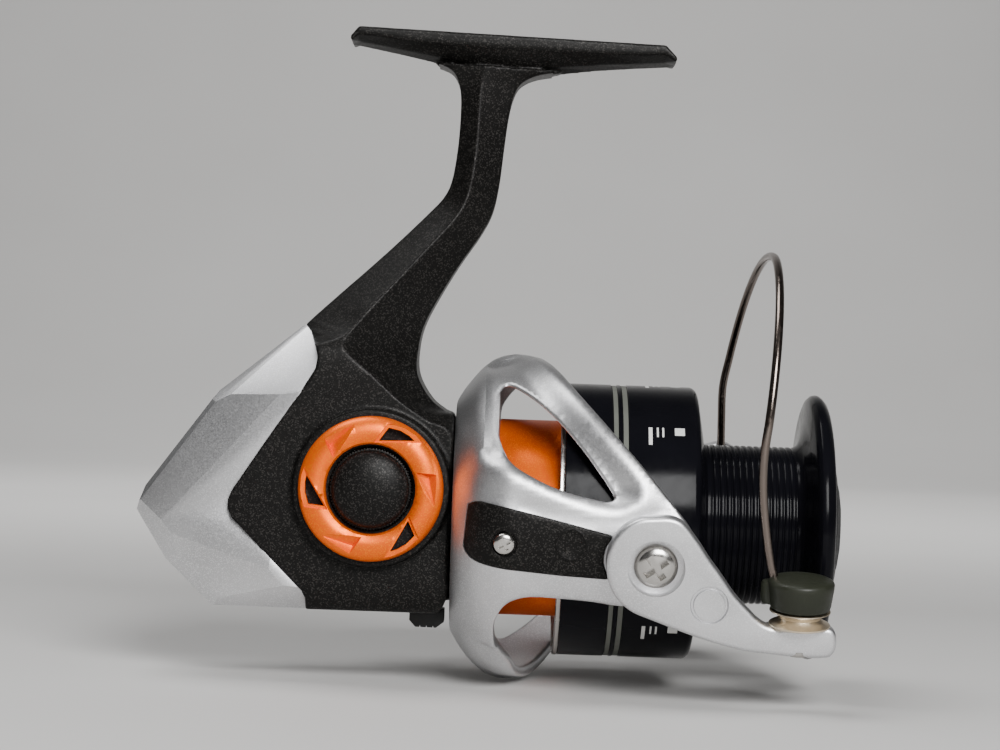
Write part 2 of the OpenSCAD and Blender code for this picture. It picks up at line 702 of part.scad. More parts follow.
module line_roller() {
    color([0.75, 0.7, 0.6]) in_rotor() translate([66.4, -40.4, 0]) rotate_extrude() polygon([[2.46, -12.1],
        [6.6, -12.1], [6.6, -11.6], [5.1, -10.9], [4.6, -10.3], [5.1, -9.4], [6.6, -8.9], [6.6, -8.6],
        [2.46, -8.6]]);
}

module bail_mount() {
    color([0.66, 0.67, 0.69]) in_rotor() difference() {
        union() {
            slab(38.95, lever_face) polygon(concat(arc(pivot_x, 0, 9.6, 110, 280, 14),
                [[44, -4.4], [52, 3]], arc(54.8, 6.4, 4.4, -50, 110, 8), [[48, 8.8], [42, 8]]));
        }
        rod_y(pivot_x, 0, 41.15, 45, 5.7);
        rod_y(pivot_x, 0, 38, 45, 2.07);
        translate([54.8, 38.6, 7.6]) cylinder(h = 6, r = wire_d / 2 + 0.6);
    }
}

// ---- Oscillation and shaft ----

module oscillation_gear() {
    mesh = atan2(crank_z - osc_z, crank_x - osc_x);
    color([0.85, 0.85, 0.8]) on_axis() difference() {
        union() {
            slab(-12.4, -9.4) translate([osc_x, osc_z]) rotate(mesh + 180 / osc_teeth)
                polygon(gear_outline(osc_teeth, osc_r, 0.85, 1.15, 0.42));
            rod_y(osc_x - osc_throw, osc_z, -9.5, -8.1, 1.8);
        }
        rod_y(osc_x, osc_z, -14, -7, 2);
    }
}

module main_shaft() {
    color("silver") on_axis() {
        rod_x(slider_x - 3, 77.9, shaft_r);
        rod_x(46.05, 60.5, 2.9);
    }
}

module slider() {
    color([0.8, 0.7, 0.4]) on_axis() difference() {
        slab(-7.8, 2.7) polygon([[slider_x - 3.6, -15.4], [slider_x + 3.6, -15.4], [slider_x + 3.6, 15],
            [slider_x - 3.6, 15]]);
        rod_x(slider_x - 3.02, slider_x + 5, shaft_r + 0.02);
        slab(-9, -4) polygon([[slider_x - 1.9, -12.2], [slider_x + 1.9, -12.2], [slider_x + 1.9, 11.6],
            [slider_x - 1.9, 11.6]]);
        for (z = [-13.2, 12.6]) translate([0, -3, z]) rod_x(-90, -20, 1.4);
        rod_x(slider_x - 5, slider_x, 1.1);
    }
}

module slider_screw() {
    color("silver") on_axis() translate([slider_x - 3.62, 0, 0]) rotate([0, -90, 0]) screw(2.2, 1, 1, 0.5);
}

module spool_support() {
    color([0.3, 0.3, 0.3]) on_axis() difference() {
        tube_x(44.4, 48, 2.02, 9);
        rod_x(46, 50, 2.92);
    }
}

module spool_washer() {
    color([0.85, 0.85, 0.82]) on_axis() tube_x(48.1, 48.7, 2.95, 8);
}

// ---- Spool ----

groove = [[arbor_r, 0], [arbor_r, 0.9], [arbor_r - 0.22, 1.05], [arbor_r - 0.22, 1.35]];
line_floor = [for (i = [0:13]) for (c = groove) [c[0], 47.6 + i * 1.45 + c[1]]];

module spool() {
    color([0.05, 0.05, 0.06]) on_axis() {
        turned() polygon(concat(
            [[29.6, 15.1], [skirt_r, 15.1], [skirt_r, 25.6], [skirt_r - 0.3, 25.7], [skirt_r - 0.3, 26.8],
             [skirt_r, 26.9], [skirt_r, 27.7], [skirt_r - 0.3, 27.8], [skirt_r - 0.3, 29], [skirt_r, 29.1],
             [skirt_r, 44.3], [skirt_r - 0.9, 45.2], [arbor_r + 1.6, 47], [arbor_r, 47.6]],
            line_floor,
            [[arbor_r, 68.2], [19.6, 69.4], [24, 70.4], [29.1, 70.8], [30.2, 71.8], [lip_r, 72.8],
             [29.8, 74], [28.4, 75], [20.2, 75], [19.6, 73.4], [13.6, 73.4], [13.6, 60.9], [3.05, 60.9],
             [3.05, 49.2], [14.6, 49.2], [15.6, 46.4], [18, 44.6], [29.6, 41.6]]));
    }
}

module skirt_ring() {
    color("silver") on_axis() tube_x(14, 15.05, 29.7, skirt_r + 0.1);
}

// Ratchet that the click spring rides on.
module click_gear() {
    color([0.75, 0.75, 0.72]) on_axis() translate([48.8, 0, 0]) rotate([0, 90, 0]) difference() {
        linear_extrude(0.35) polygon(gear_outline(36, 12.6, 0.5, 0.5, 0.45));
        translate([0, 0, -1]) cylinder(h = 3, r = 8.6);
    }
}

module drag_washers() {
    color("silver") on_axis() for (x = [61.9, 64.3, 66.7]) tube_x(x, x + 1.1, 3.1, 13.4);
}

module drag_felts() {
    color([0.35, 0.32, 0.28]) on_axis() for (x = [61, 63.1, 65.5]) tube_x(x, x + 0.8, 3.1, 13.3);
}

module drag_clip() {
    color("gray") on_axis() difference() {
        tube_x(68.1, 68.9, 12, 13.55);
        translate([60, -3, 8]) cube([12, 6, 8]);
    }
}

// ---- Drag knob ----

module drag_knob() {
    color([0.07, 0.07, 0.07]) on_axis() {
        turned() polygon([[2.06, 73.2], [10.4, 73.2], [10.4, 73.7], [18.2, 73.7], [18.2, 75.4], [16.6, 76.6],
            [14.2, 77], [3.2, 77.4], [3.2, 75.6], [2.06, 75.6]]);
        difference() {
            intersection() {
                rod_x(76.4, 79.3, 14);
                translate([70, -14.5, -4.6]) cube([12, 29, 9.2]);
            }
            rod_x(70, 78.1, 3.2);
        }
    }
}

module knob_ring() {
    color([0.24, 0.26, 0.2]) on_axis() tube_x(74.6, 76.2, 18.25, 18.9);
}

module drag_spring() {
    color("silver") on_axis() for (x = [70.2, 71.2, 72.2]) tube_x(x, x + 0.6, 5.4, 6.6);
}

main_body();
side_cover();
rear_cover();
trim_ring();
handle_hole_cap();
side_cover_screws();
rear_cover_screw();
drive_bearing_near();
drive_bearing_far();
pinion_bearing();
pinion_bush();
roller_clutch();
clutch_retainer();
clutch_screws();
guide_rods();
oscillation_axle();
anti_reverse_lever();
drive_gear();
drive_shaft();
oscillation_drive_gear();
handle_arm();
handle_screw();
knob_shaft();
handle_knob();
knob_cap();
rotor();
drum_ring();
pinion_gear();
clutch_sleeve();
rotor_nut();
nut_lock_plate();
arm_covers();
arm_cover_screws();
pivot_screws();
bail_spring();
bail_arm();
bail_wire();
wire_holder();
roller_screw();
roller_bush();
bail_mount();
line_roller();
oscillation_gear();
main_shaft();
slider();
slider_screw();
spool_support();
spool_washer();
spool();
skirt_ring();
click_gear();
drag_washers();
drag_felts();
drag_clip();
drag_knob();
knob_ring();
drag_spring();
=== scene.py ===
"""Spinning reel: the looks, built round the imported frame. Helpers work in millimetres."""
import contextlib
import json
import math

import bmesh
import bpy
from mathutils import Matrix, Vector


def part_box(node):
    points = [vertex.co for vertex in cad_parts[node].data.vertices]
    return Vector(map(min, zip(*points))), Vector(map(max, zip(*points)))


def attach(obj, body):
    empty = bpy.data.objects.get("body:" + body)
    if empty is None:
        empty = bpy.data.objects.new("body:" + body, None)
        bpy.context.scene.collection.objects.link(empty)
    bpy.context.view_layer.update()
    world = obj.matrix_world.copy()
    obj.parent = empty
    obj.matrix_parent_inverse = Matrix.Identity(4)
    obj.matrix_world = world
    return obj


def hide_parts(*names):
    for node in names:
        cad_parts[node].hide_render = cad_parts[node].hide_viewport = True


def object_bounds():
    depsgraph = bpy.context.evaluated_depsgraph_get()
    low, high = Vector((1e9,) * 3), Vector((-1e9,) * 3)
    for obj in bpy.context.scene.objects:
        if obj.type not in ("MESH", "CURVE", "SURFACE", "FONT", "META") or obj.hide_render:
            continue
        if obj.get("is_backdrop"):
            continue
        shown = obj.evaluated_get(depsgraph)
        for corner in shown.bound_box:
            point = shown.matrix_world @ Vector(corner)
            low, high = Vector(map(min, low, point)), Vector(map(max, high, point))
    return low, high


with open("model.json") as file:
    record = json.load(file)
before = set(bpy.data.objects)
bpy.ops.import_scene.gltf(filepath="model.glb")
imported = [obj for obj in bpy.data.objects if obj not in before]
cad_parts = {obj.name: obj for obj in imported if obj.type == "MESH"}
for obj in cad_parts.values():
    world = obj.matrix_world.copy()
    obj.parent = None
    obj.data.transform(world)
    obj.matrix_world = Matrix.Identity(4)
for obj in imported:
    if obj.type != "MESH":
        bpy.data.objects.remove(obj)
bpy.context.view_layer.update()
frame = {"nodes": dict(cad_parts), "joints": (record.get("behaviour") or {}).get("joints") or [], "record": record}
NODES = frame["nodes"]
JOINT = {j["name"]: j for j in frame["joints"]}
MM = 0.001


def joint_mm(name):
    """A joint's point at rest, in millimetres."""
    return Vector(JOINT[name]["pos_m"]) / MM


# ---- Places, read from the frame ----

AXIS_Z = joint_mm("rotor_turn").z
CRANK = joint_mm("crank_turn") - Vector((0, 0, AXIS_Z))
ROLL = math.atan2(JOINT["bail_flip"]["axis"][2], JOINT["bail_flip"]["axis"][1])
AXIS = Matrix.Scale(MM, 4) @ Matrix.Translation((0, 0, AXIS_Z))
ROTOR = AXIS @ Matrix.Rotation(ROLL, 4, "X")
HALF_TURN = Matrix.Rotation(math.pi, 4, "X")
PIVOT_X = joint_mm("bail_flip").x
ROLLER = ROTOR.inverted() @ Vector(JOINT["roller_turn"]["pos_m"])
KNOB = joint_mm("knob_turn") - Vector((0, 0, AXIS_Z))

# The axis and origin of what is turned about the crank, the handle's knob, the bail's pivot and the roller.
AT_CRANK = ("Y", (CRANK.x, 0, CRANK.z))
AT_KNOB = ("Y", (KNOB.x, 0, KNOB.z))
AT_PIVOT = ("Y", (PIVOT_X, 0, 0))
AT_ROLLER = ("Z", (ROLLER.x, ROLLER.y, 0))


# ---- Geometry helpers ----

def mesh_object(name, bm):
    """A new object from a bmesh."""
    bmesh.ops.recalc_face_normals(bm, faces=bm.faces)
    mesh = bpy.data.meshes.new(name)
    bm.to_mesh(mesh)
    bm.free()
    obj = bpy.data.objects.new(name, mesh)
    bpy.context.scene.collection.objects.link(obj)
    return obj


@contextlib.contextmanager
def editing(obj):
    """An object's mesh as a bmesh, written back at the end."""
    bm = bmesh.new()
    bm.from_mesh(obj.data)
    yield bm
    bm.to_mesh(obj.data)
    bm.free()


def bisect(bm, point, normal, dist=1e-4, clear=False):
    """Cuts a bmesh by a plane, and clears what lies beyond it if asked to."""
    return bmesh.ops.bisect_plane(bm, geom=bm.verts[:] + bm.edges[:] + bm.faces[:], dist=dist,
                                  plane_co=point, plane_no=normal, clear_outer=clear)


def apply_modifiers(obj):
    """Replaces an object's mesh with its evaluated one."""
    evaluated = obj.evaluated_get(bpy.context.evaluated_depsgraph_get())
    mesh = bpy.data.meshes.new_from_object(evaluated)
    obj.modifiers.clear()
    obj.data = mesh
    return obj


def soften(obj, width, segments, angle):
    """Rounds an object's edges sharper than an angle."""
    mod = obj.modifiers.new("edges", "BEVEL")
    mod.width = width
    mod.segments = segments
    mod.limit_method = "ANGLE"
    mod.angle_limit = math.radians(angle)
    mod.use_clamp_overlap = True
    mod.harden_normals = False
    return apply_modifiers(obj)


def shade(obj, angle):
    """Smooth shading that keeps edges sharper than an angle."""
    limit = math.radians(angle)
    with editing(obj) as bm:
        for edge in bm.edges:
            edge.smooth = not (len(edge.link_faces) == 2 and edge.calc_face_angle(0) > limit)
        for face in bm.faces:
            face.smooth = True


def boolean(obj, cutter, operation="DIFFERENCE"):
    """Cuts or joins with another object, which is removed."""
    mod = obj.modifiers.new("cut", "BOOLEAN")
    mod.operation = operation
    mod.solver = "EXACT"
    mod.object = cutter
    apply_modifiers(obj)
    bpy.data.objects.remove(cutter)
    return obj


def place(obj, body, material, *replaced, space=AXIS, angle=35):
    """Carries a finished piece into the shared frame and fixes it to its body."""
    obj.data.transform(space)
    shade(obj, angle)
    obj.data.materials.clear()
    obj.data.materials.append(material)
    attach(obj, body)
    if replaced:
        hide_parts(*replaced)
    return obj


def arc(cx, cy, r, start, end, n):
    """Points on an arc, angles in degrees."""
    turn = [math.radians(start + (end - start) * i / n) for i in range(n + 1)]
    return [(cx + r * math.cos(a), cy + r * math.sin(a)) for a in turn]


def smooth_line(points, per):
    """A Catmull-Rom curve through points of any dimension."""
    points = [Vector(p) for p in points]
    line = []
    for i in range(len(points) - 1):
        a, b = points[max(i - 1, 0)], points[i]
        c, d = points[i + 1], points[min(i + 2, len(points) - 1)]
        for k in range(per):
            t = k / per
            line.append(0.5 * (2 * b + (c - a) * t + (2 * a - 5 * b + 4 * c - d) * t * t
                               + (3 * b - a - 3 * c + d) * t ** 3))
    line.append(points[-1])
    return line


def lathe(name, profile, axis="X", origin=(0, 0, 0), n=96, closed=False):
    """A turned solid. The profile is (radius, place along the axis)."""
    bm = bmesh.new()
    rings = []
    for r, a in profile:
        if r < 1e-6:
            rings.append([bm.verts.new((a, 0, 0))])
        else:
            turns = [2 * math.pi * k / n for k in range(n)]
            rings.append([bm.verts.new((a, r * math.cos(t), r * math.sin(t))) for t in turns])
    count = len(rings)
    for i in range(count if closed else count - 1):
        one, two = rings[i], rings[(i + 1) % count]
        for k in range(n):
            corners = [one[k % len(one)], one[(k + 1) % len(one)],
                       two[(k + 1) % len(two)], two[k % len(two)]]
            corners = list(dict.fromkeys(corners))
            if len(corners) > 2:
                bm.faces.new(corners)
    if not closed:
        for ring in (rings[0], rings[-1]):
            if len(ring) > 2:
                bm.faces.new(ring)
    turn = {"X": Matrix(), "Y": Matrix.Rotation(math.pi / 2, 4, "Z"),
            "Z": Matrix.Rotation(-math.pi / 2, 4, "Y")}
    bm.transform(Matrix.Translation(origin) @ turn[axis])
    return mesh_object(name, bm)


def rod(r, low, high, axis="X", origin=(0, 0, 0), n=96):
    """A plain cylinder between two places along an axis."""
    return lathe("rod", [(0, low), (r, low), (r, high), (0, high)], axis, origin, n)


def loft(name, sections, split=False):
    """A solid through a row of outlines with as many points each."""
    bm = bmesh.new()
    rings = [[bm.verts.new(p) for p in section] for section in sections]
    count = len(rings[0])
    for one, two in zip(rings, rings[1:]):
        for k in range(count):
            bm.faces.new([one[k], one[(k + 1) % count], two[(k + 1) % count], two[k]])
    bm.faces.new(rings[0])
    bm.faces.new(rings[-1])
    if split:
        bmesh.ops.triangulate(bm, faces=bm.faces)
    return mesh_object(name, bm)


def prism(name, outline, low, high, axis="Y"):
    """An outline of (x, z) points made solid along Y, or of (x, y) points along Z."""
    bm = bmesh.new()
    put = (lambda p, d: (p[0], d, p[1])) if axis == "Y" else (lambda p, d: (p[0], p[1], d))
    one = [bm.verts.new(put(p, low)) for p in outline]
    two = [bm.verts.new(put(p, high)) for p in outline]
    bm.faces.new(one)
    bm.faces.new(list(reversed(two)))
    count = len(outline)
    for i in range(count):
        bm.faces.new([one[i], two[i], two[(i + 1) % count], one[(i + 1) % count]])
    return mesh_object(name, bm)


def sweep(name, line, radius, sides):
    """A round tube along a line of points."""
    points = [Vector(p) for p in line]
    normal = None
    sections = []
    for i, p in enumerate(points):
        along = (points[min(i + 1, len(points) - 1)] - points[max(i - 1, 0)]).normalized()
        if normal is None:
            normal = along.cross(Vector((1, 0.2, 0))).normalized()
        normal = (normal - along * normal.dot(along)).normalized()
        side = along.cross(normal)
        turns = [2 * math.pi * k / sides for k in range(sides)]
        sections.append([p + radius * (normal * math.cos(t) + side * math.sin(t)) for t in turns])
    return loft(name, sections)


def screw(name, r, h, at, direction, turn):
    """A pan head with a cross recess, its seat at a point."""
    dome = [(r, 0), (r, h * 0.35), (r * 0.96, h * 0.55), (r * 0.82, h * 0.8), (r * 0.55, h * 0.96), (0, h)]
    head = lathe(name, [(0, -0.4), (r * 0.5, -0.4), (r * 0.5, 0)] + dome, "Z", n=40)
    arm, half, depth = r * 0.6, r * 0.16, h * 0.9
    for k in range(2):
        slot = prism("slot", [(-arm, -half), (arm, -half), (arm, half), (-arm, half)],
                     h - depth, h + 1, axis="Z")
        slot.data.transform(Matrix.Rotation(k * math.pi / 2, 4, "Z"))
        boolean(head, slot)
    aim = Vector(direction).to_track_quat("Z", "Y").to_matrix().to_4x4()
    head.data.transform(Matrix.Translation(at) @ aim @ Matrix.Rotation(turn, 4, "Z"))
    return head


def join(name, *objects):
    """Several objects as one."""
    bm = bmesh.new()
    for obj in objects:
        bm.from_mesh(obj.data)
    for obj in objects:
        bpy.data.objects.remove(obj)
    return mesh_object(name, bm)


def remesh(obj, voxel, smoothing):
    """Melts a piece's solids together, with small fillets where they meet."""
    mod = obj.modifiers.new("melt", "REMESH")
    mod.mode = "VOXEL"
    mod.voxel_size = voxel
    mod.use_smooth_shade = True
    soft = obj.modifiers.new("soft", "SMOOTH")
    soft.factor = 0.5
    soft.iterations = smoothing
    return apply_modifiers(obj)


# ---- Materials ----

class Shader:
    """A Principled material with a few node shortcuts."""

    def __init__(self, name, slot):
        self.material = bpy.data.materials.new(name)
        self.material.use_nodes = True
        self.material["slot"] = slot
        self.tree = self.material.node_tree
        self.bsdf = self.tree.nodes["Principled BSDF"]
        self.place = self.add("ShaderNodeTexCoord").outputs["Object"]

    def add(self, kind):
        return self.tree.nodes.new(kind)

    def link(self, out, node, socket):
        self.tree.links.new(out, node.inputs[socket])

    def noise(self, scale, detail):
        """A cloudy value between 0 and 1."""
        node = self.add("ShaderNodeTexNoise")
        node.inputs["Scale"].default_value = scale
        node.inputs["Detail"].default_value = detail
        self.link(self.place, node, "Vector")
        return node.outputs["Fac"]

    def cells(self, scale):
        """A random value for each small cell."""
        node = self.add("ShaderNodeTexVoronoi")
        node.inputs["Scale"].default_value = scale
        self.link(self.place, node, "Vector")
        split = self.add("ShaderNodeSeparateColor")
        self.link(node.outputs["Color"], split, "Color")
        return split.outputs[0]

    def ramp(self, value, stops):
        """Colours between two stops of (place, colour)."""
        node = self.add("ShaderNodeValToRGB")
        ramp = node.color_ramp
        for element, (at, colour) in zip(ramp.elements, stops):
            element.position = at
            element.color = (*colour, 1)
        self.link(value, node, "Fac")
        return node.outputs["Color"]

    def grey(self, value, stops):
        return self.ramp(value, [(at, (v, v, v)) for at, v in stops])

    def mix(self, one, colour, amount):
        """A colour output mixed with a fixed colour."""
        node = self.add("ShaderNodeMix")
        node.data_type = "RGBA"
        self.link(amount, node, 0)
        self.link(one, node, 6)
        node.inputs[7].default_value = (*colour, 1)
        return node.outputs[2]

    def colour(self, out):
        self.link(out, self.bsdf, "Base Color")

    def rough(self, value, low, high):
        """Roughness between two limits, driven by a value from 0 to 1."""
        self.link(self.grey(value, [(0.3, low), (0.7, high)]), self.bsdf, "Roughness")

    def bump(self, *layers):
        """Bump layers of (height output, distance in millimetres)."""
        normal = None
        for height, distance in layers:
            node = self.add("ShaderNodeBump")
            node.inputs["Distance"].default_value = distance * MM
            node.inputs["Strength"].default_value = 1
            self.link(height, node, "Height")
            if normal is not None:
                self.link(normal, node, "Normal")
            normal = node.outputs["Normal"]
        self.link(normal, self.bsdf, "Normal")

    def fixed(self, **values):
        """Sets the shader's inputs, with _ for a space in a name."""
        for key, value in values.items():
            self.bsdf.inputs[key.replace("_", " ")].default_value = value


def shades(colour, dark, light):
    """A colour's two stops for a ramp, a little darker and a little lighter."""
    return [(0.3, tuple(c * dark for c in colour)), (0.7, tuple(min(1, c * light) for c in colour))]


def flake_paint(name, slot, base, flake, share, cell, metallic, low, high, shine, grain):
    """Paint with a share of its small cells lit as metal flake."""
    s = Shader(name, slot)
    body = s.ramp(s.noise(40, 3), shades(base, 0.86, 1.12))
    spark = s.grey(s.cells(cell), [(1 - share - 0.08, 0), (1 - share + 0.05, 1)])
    s.colour(s.mix(body, flake, spark))
    s.rough(s.noise(cell * 0.4, 2), low, high)
    s.bump((s.noise(cell * 0.7, 2), grain), (s.noise(160, 3), grain * 1.5))
    s.fixed(Metallic=metallic, Specular_IOR_Level=shine)
    return s.material


def metal(name, base, low, high):
    """Metal with fine scratches and a little tarnish."""
    s = Shader(name, name)
    s.colour(s.ramp(s.noise(120, 4), shades(base, 0.85, 1)))
    s.rough(s.noise(900, 3), low, high)
    s.bump((s.noise(2600, 2), 0.004))
    s.fixed(Metallic=1.0)
    return s.material


def plastic(name, base, low, high, grain, scale=1400, shine=0.3, slot=None):
    """Moulded plastic with a fine grain."""
    s = Shader(name, slot or name)
    s.colour(s.ramp(s.noise(60, 3), shades(base, 0.8, 1.2)))
    s.rough(s.noise(500, 3), low, high)
    s.bump((s.noise(scale, 3), grain))
    s.fixed(Specular_IOR_Level=shine)
    return s.material


BLACK = flake_paint("black_flake_paint", "black_body", (0.006, 0.0057, 0.0053), (0.03, 0.028, 0.026),
                    0.16, 4200, 0.3, 0.36, 0.48, shine=0.15, grain=0.02)
SILVER = flake_paint("silver_paint", "silver_paint", (0.64, 0.64, 0.65), (0.78, 0.78, 0.79),
                     0.2, 6000, 1.0, 0.38, 0.46, shine=0.5, grain=0.006)
ORANGE = flake_paint("orange_paint", "orange_paint", (0.9, 0.12, 0.0), (0.95, 0.2, 0.0),
                     0.2, 6500, 0.6, 0.36, 0.44, shine=0.2, grain=0.004)
MATT = plastic("black_plastic", (0.016, 0.016, 0.016), 0.42, 0.6, 0.03)
GLOSS = plastic("spool_black", (0.004, 0.004, 0.0055), 0.12, 0.2, 0.003, shine=0.07)
OLIVE = plastic("olive_plastic", (0.016, 0.018, 0.011), 0.4, 0.55, 0.02)
NYLON = plastic("nylon", (0.6, 0.58, 0.52), 0.4, 0.55, 0.01)
RUBBER = plastic("knob_rubber", (0.018, 0.018, 0.019), 0.55, 0.72, 0.04, 2200)
FELT = plastic("felt", (0.12, 0.1, 0.08), 0.8, 0.95, 0.12, 3000)
CHROME = metal("bright_steel", (0.6, 0.58, 0.55), 0.16, 0.28)
WIRE_STEEL = metal("wire_steel", (0.2, 0.165, 0.145), 0.16, 0.28)
BEARING = metal("bearing_steel", (0.6, 0.6, 0.61), 0.25, 0.38)
ZINC = metal("zinc_casting", (0.5, 0.49, 0.46), 0.4, 0.55)
BRASS = metal("brass", (0.66, 0.46, 0.18), 0.25, 0.38)
BAND = plastic("spool_band", (0.11, 0.115, 0.1), 0.35, 0.5, 0.01, slot="spool_black")
PRINT = plastic("spool_print", (0.62, 0.62, 0.6), 0.4, 0.55, 0.005, slot="spool_black")
ROLLER_METAL = metal("roller_metal", (0.8, 0.69, 0.53), 0.3, 0.42)
BY_SLOT = {m["slot"]: m for m in (BLACK, SILVER, ORANGE, MATT, GLOSS, OLIVE, NYLON, RUBBER, FELT, CHROME,
                                  WIRE_STEEL, BEARING, ZINC, BRASS, ROLLER_METAL)}
for part in frame["record"]["subparts"]:
    node = NODES[part["node"]]
    node.data.materials.clear()
    node.data.materials.append(BY_SLOT[part["material_slot"]])


# ---- Housing ----

BODY_HALF = -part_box("rear_cover")[0].y / MM
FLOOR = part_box("main_body")[0].z / MM - AXIS_Z
SEAM = [(-43.4, 41.1), (-41.4, 37.6), (-40.8, 35.2), (-41.2, 32.6), (-44.2, 27.6), (-52.5, 14.9),
        (-58.8, 5), (-59.7, 2.9), (-59.8, 0.9), (-58.9, -1.1), (-49.3, -10.7), (-42.7, -17.2),
        (-41.8, -18.8), (-41.8, -23)]

# Rows of the stem and gear case, from the foot down: back edge, back end of the crest, crest and front
# edge as (x, z), then half the thickness at the back edge, on the crest and at the front edge.
BODY_ROWS = [
    ((-17, 103.4), (-5.3, 103), (-5, 103), (11.5, 102.3), 5.6, 7, 5.6),
    ((-13.6, 102), (-6, 101.4), (-5.7, 101.4), (6, 101.2), 5, 6.8, 5),
    ((-12, 99.8), (-6.5, 99.6), (-6.2, 99.6), (2.6, 99.4), 4.6, 6.6, 4.4),
    ((-11.2, 96.5), (-6.9, 96.5), (-6.6, 96.5), (1, 96.6), 4, 6.5, 3.7),
    ((-11.1, 91), (-7.1, 91), (-6.8, 91), (-0.1, 91.5), 3.6, 6.5, 3.2),
    ((-11.5, 84), (-7.4, 84), (-7.1, 84), (-0.9, 84), 3.4, 6.7, 3),
    ((-12.5, 77), (-8.2, 76.8), (-7.9, 76.8), (-1.7, 76), 3.4, 7.2, 3),
    ((-14.2, 72.9), (-9.6, 71.4), (-9.3, 71.3), (-3, 69.6), 3.5, 7.8, 3.2),
    ((-17.6, 69), (-12.4, 66.8), (-12.1, 66.7), (-5.6, 64.3), 3.8, 8.9, 3.6),
    ((-24.2, 62.2), (-18.2, 60), (-17.9, 59.9), (-10, 57.6), 4.4, 10.8, 4.4),
    ((-31, 55.6), (-24.1, 53.1), (-23.8, 53), (-14.4, 50), 5.2, 13, 5.4),
    ((-38.2, 48.8), (-29.9, 46.4), (-29.6, 46.3), (-17.6, 43.4), 6.2, 15.4, 6.6),
    ((-45.1, 42), (-34.9, 40.3), (-34.6, 40.2), (-18.8, 37.6), 7.4, 17.9, 8),
    ((-54, 32), (-47, 35.4), (-34.8, 36.8), (-18.6, 32), 8.6, 19.5, 12.4),
    ((-62.6, 24), (-50, 27), (-29, 31.9), (-15.6, 26.8), 9, 20, 12.6),
    ((-69.4, 14), (-56, 18), (-22.6, 26.3), (-12.2, 24.1), 9, 20, 12.4),
    ((-74.6, 7), (-60, 9), (-16.2, 22), (-10.2, 22.9), 9, 20, 15.4),
    ((-77.4, 1), (-62, 2), (-10.6, 18.6), (-9.9, 18.2), 9, 20, 19.4),
    ((-77.4, -4), (-62, -3), (-10.6, 4), (-9.9, 4), 9, 20, 19.4),
    ((-74, -9), (-60, -8), (-10.6, -8), (-9.9, -8), 9, 20, 19.4),
    ((-68, -15), (-56, -14), (-10.8, -16), (-10, -16), 9, 19.8, 19),
    ((-63, -20), (-54, -19.4), (-12.4, -20), (-11, -19.8), 9, 18.4, 17.8),
    ((-60, FLOOR), (-52, FLOOR), (-13.4, FLOOR), (-12.2, FLOOR), 8, 17, 16.6)]


def body_loft():
    """Stem and gear case as one lofted solid with its crest."""
    rows = smooth_line([(*b, *r, *c, *f, tb, tr, tf) for b, r, c, f, tb, tr, tf in BODY_ROWS], 5)
    sections = []
    for bx, bz, rx, rz, cx, cz, fx, fz, tb, tr, tf in rows:
        near = [(x, -min(half, BODY_HALF), z)
                for x, half, z in ((bx, tb, bz), (rx, tr, rz), (cx, tr, cz), (fx, tf, fz))]
        sections.append(near + [(x, -y, z) for x, y, z in reversed(near)])
    return loft("body_loft", sections, split=True)


FOOT_HALF = 7.5
FOOT_TILT = math.radians(1.63)

# The foot from back to front: x, height of the underside's crown, thickness at the edges, and how far
# the top drops away at the ends.
FOOT_ROWS = [(-36.7, 107.6, 1.1, 2.3), (-34.8, 107.3, 1.7, 0), (-26, 105.7, 2.3, 0),
             (-20.5, 104.6, 2.6, 0), (-14, 103.2, 2.7, 0), (-8, 102.2, 2.7, 0), (2, 101.2, 2.7, 0),
             (9, 101.9, 2.7, 0), (20, 103.4, 2.7, 0), (30, 104.3, 2.5, 0), (35.3, 104.7, 2, 0),
             (37.9, 105, 1, 2.6)]


def foot_solid():
    """The foot: a thin plate with tapering ends and a crowned underside."""
    sections = []
    for x, crown, side, drop in FOOT_ROWS:
        top = -AXIS_Z - x * math.tan(FOOT_TILT) - drop
        low = top - side
        middle = crown + (low - crown) * 0.3
        sections.append([(x, y * FOOT_HALF, z) for y, z in (
            (-1, top), (-1, low), (-0.5, middle), (0, crown), (0.5, middle), (1, low), (1, top))])
    return loft("foot", sections, split=True)


CAVITY = [(-12.5, 14), (-12.5, -12), (-15, FLOOR + 3.2), (-60, FLOOR + 5), (-69, -10), (-74, -0.6),
          (-59.4, 21.6), (-44, 32), (-30, 33), (-21, 27), (-15, 18)]


def side_cover_outline(m):
    """The far side's plate, grown by a margin."""
    return [(-11 + m, 22.2 + m), (-11 + m, -14.3 - m), (-14.1 + m, FLOOR + 1.5 - m),
            (-39.4 - m, FLOOR + 1.5 - m), (-55.4 - m, -2 - m), (-56.8 - m, 2), (-40.8 - m, 27 + m),
            (-36.9 - m, 36.9 + m), (-22.3 + m, 36.9 + m), (-19.1 + m, 28 + m)]


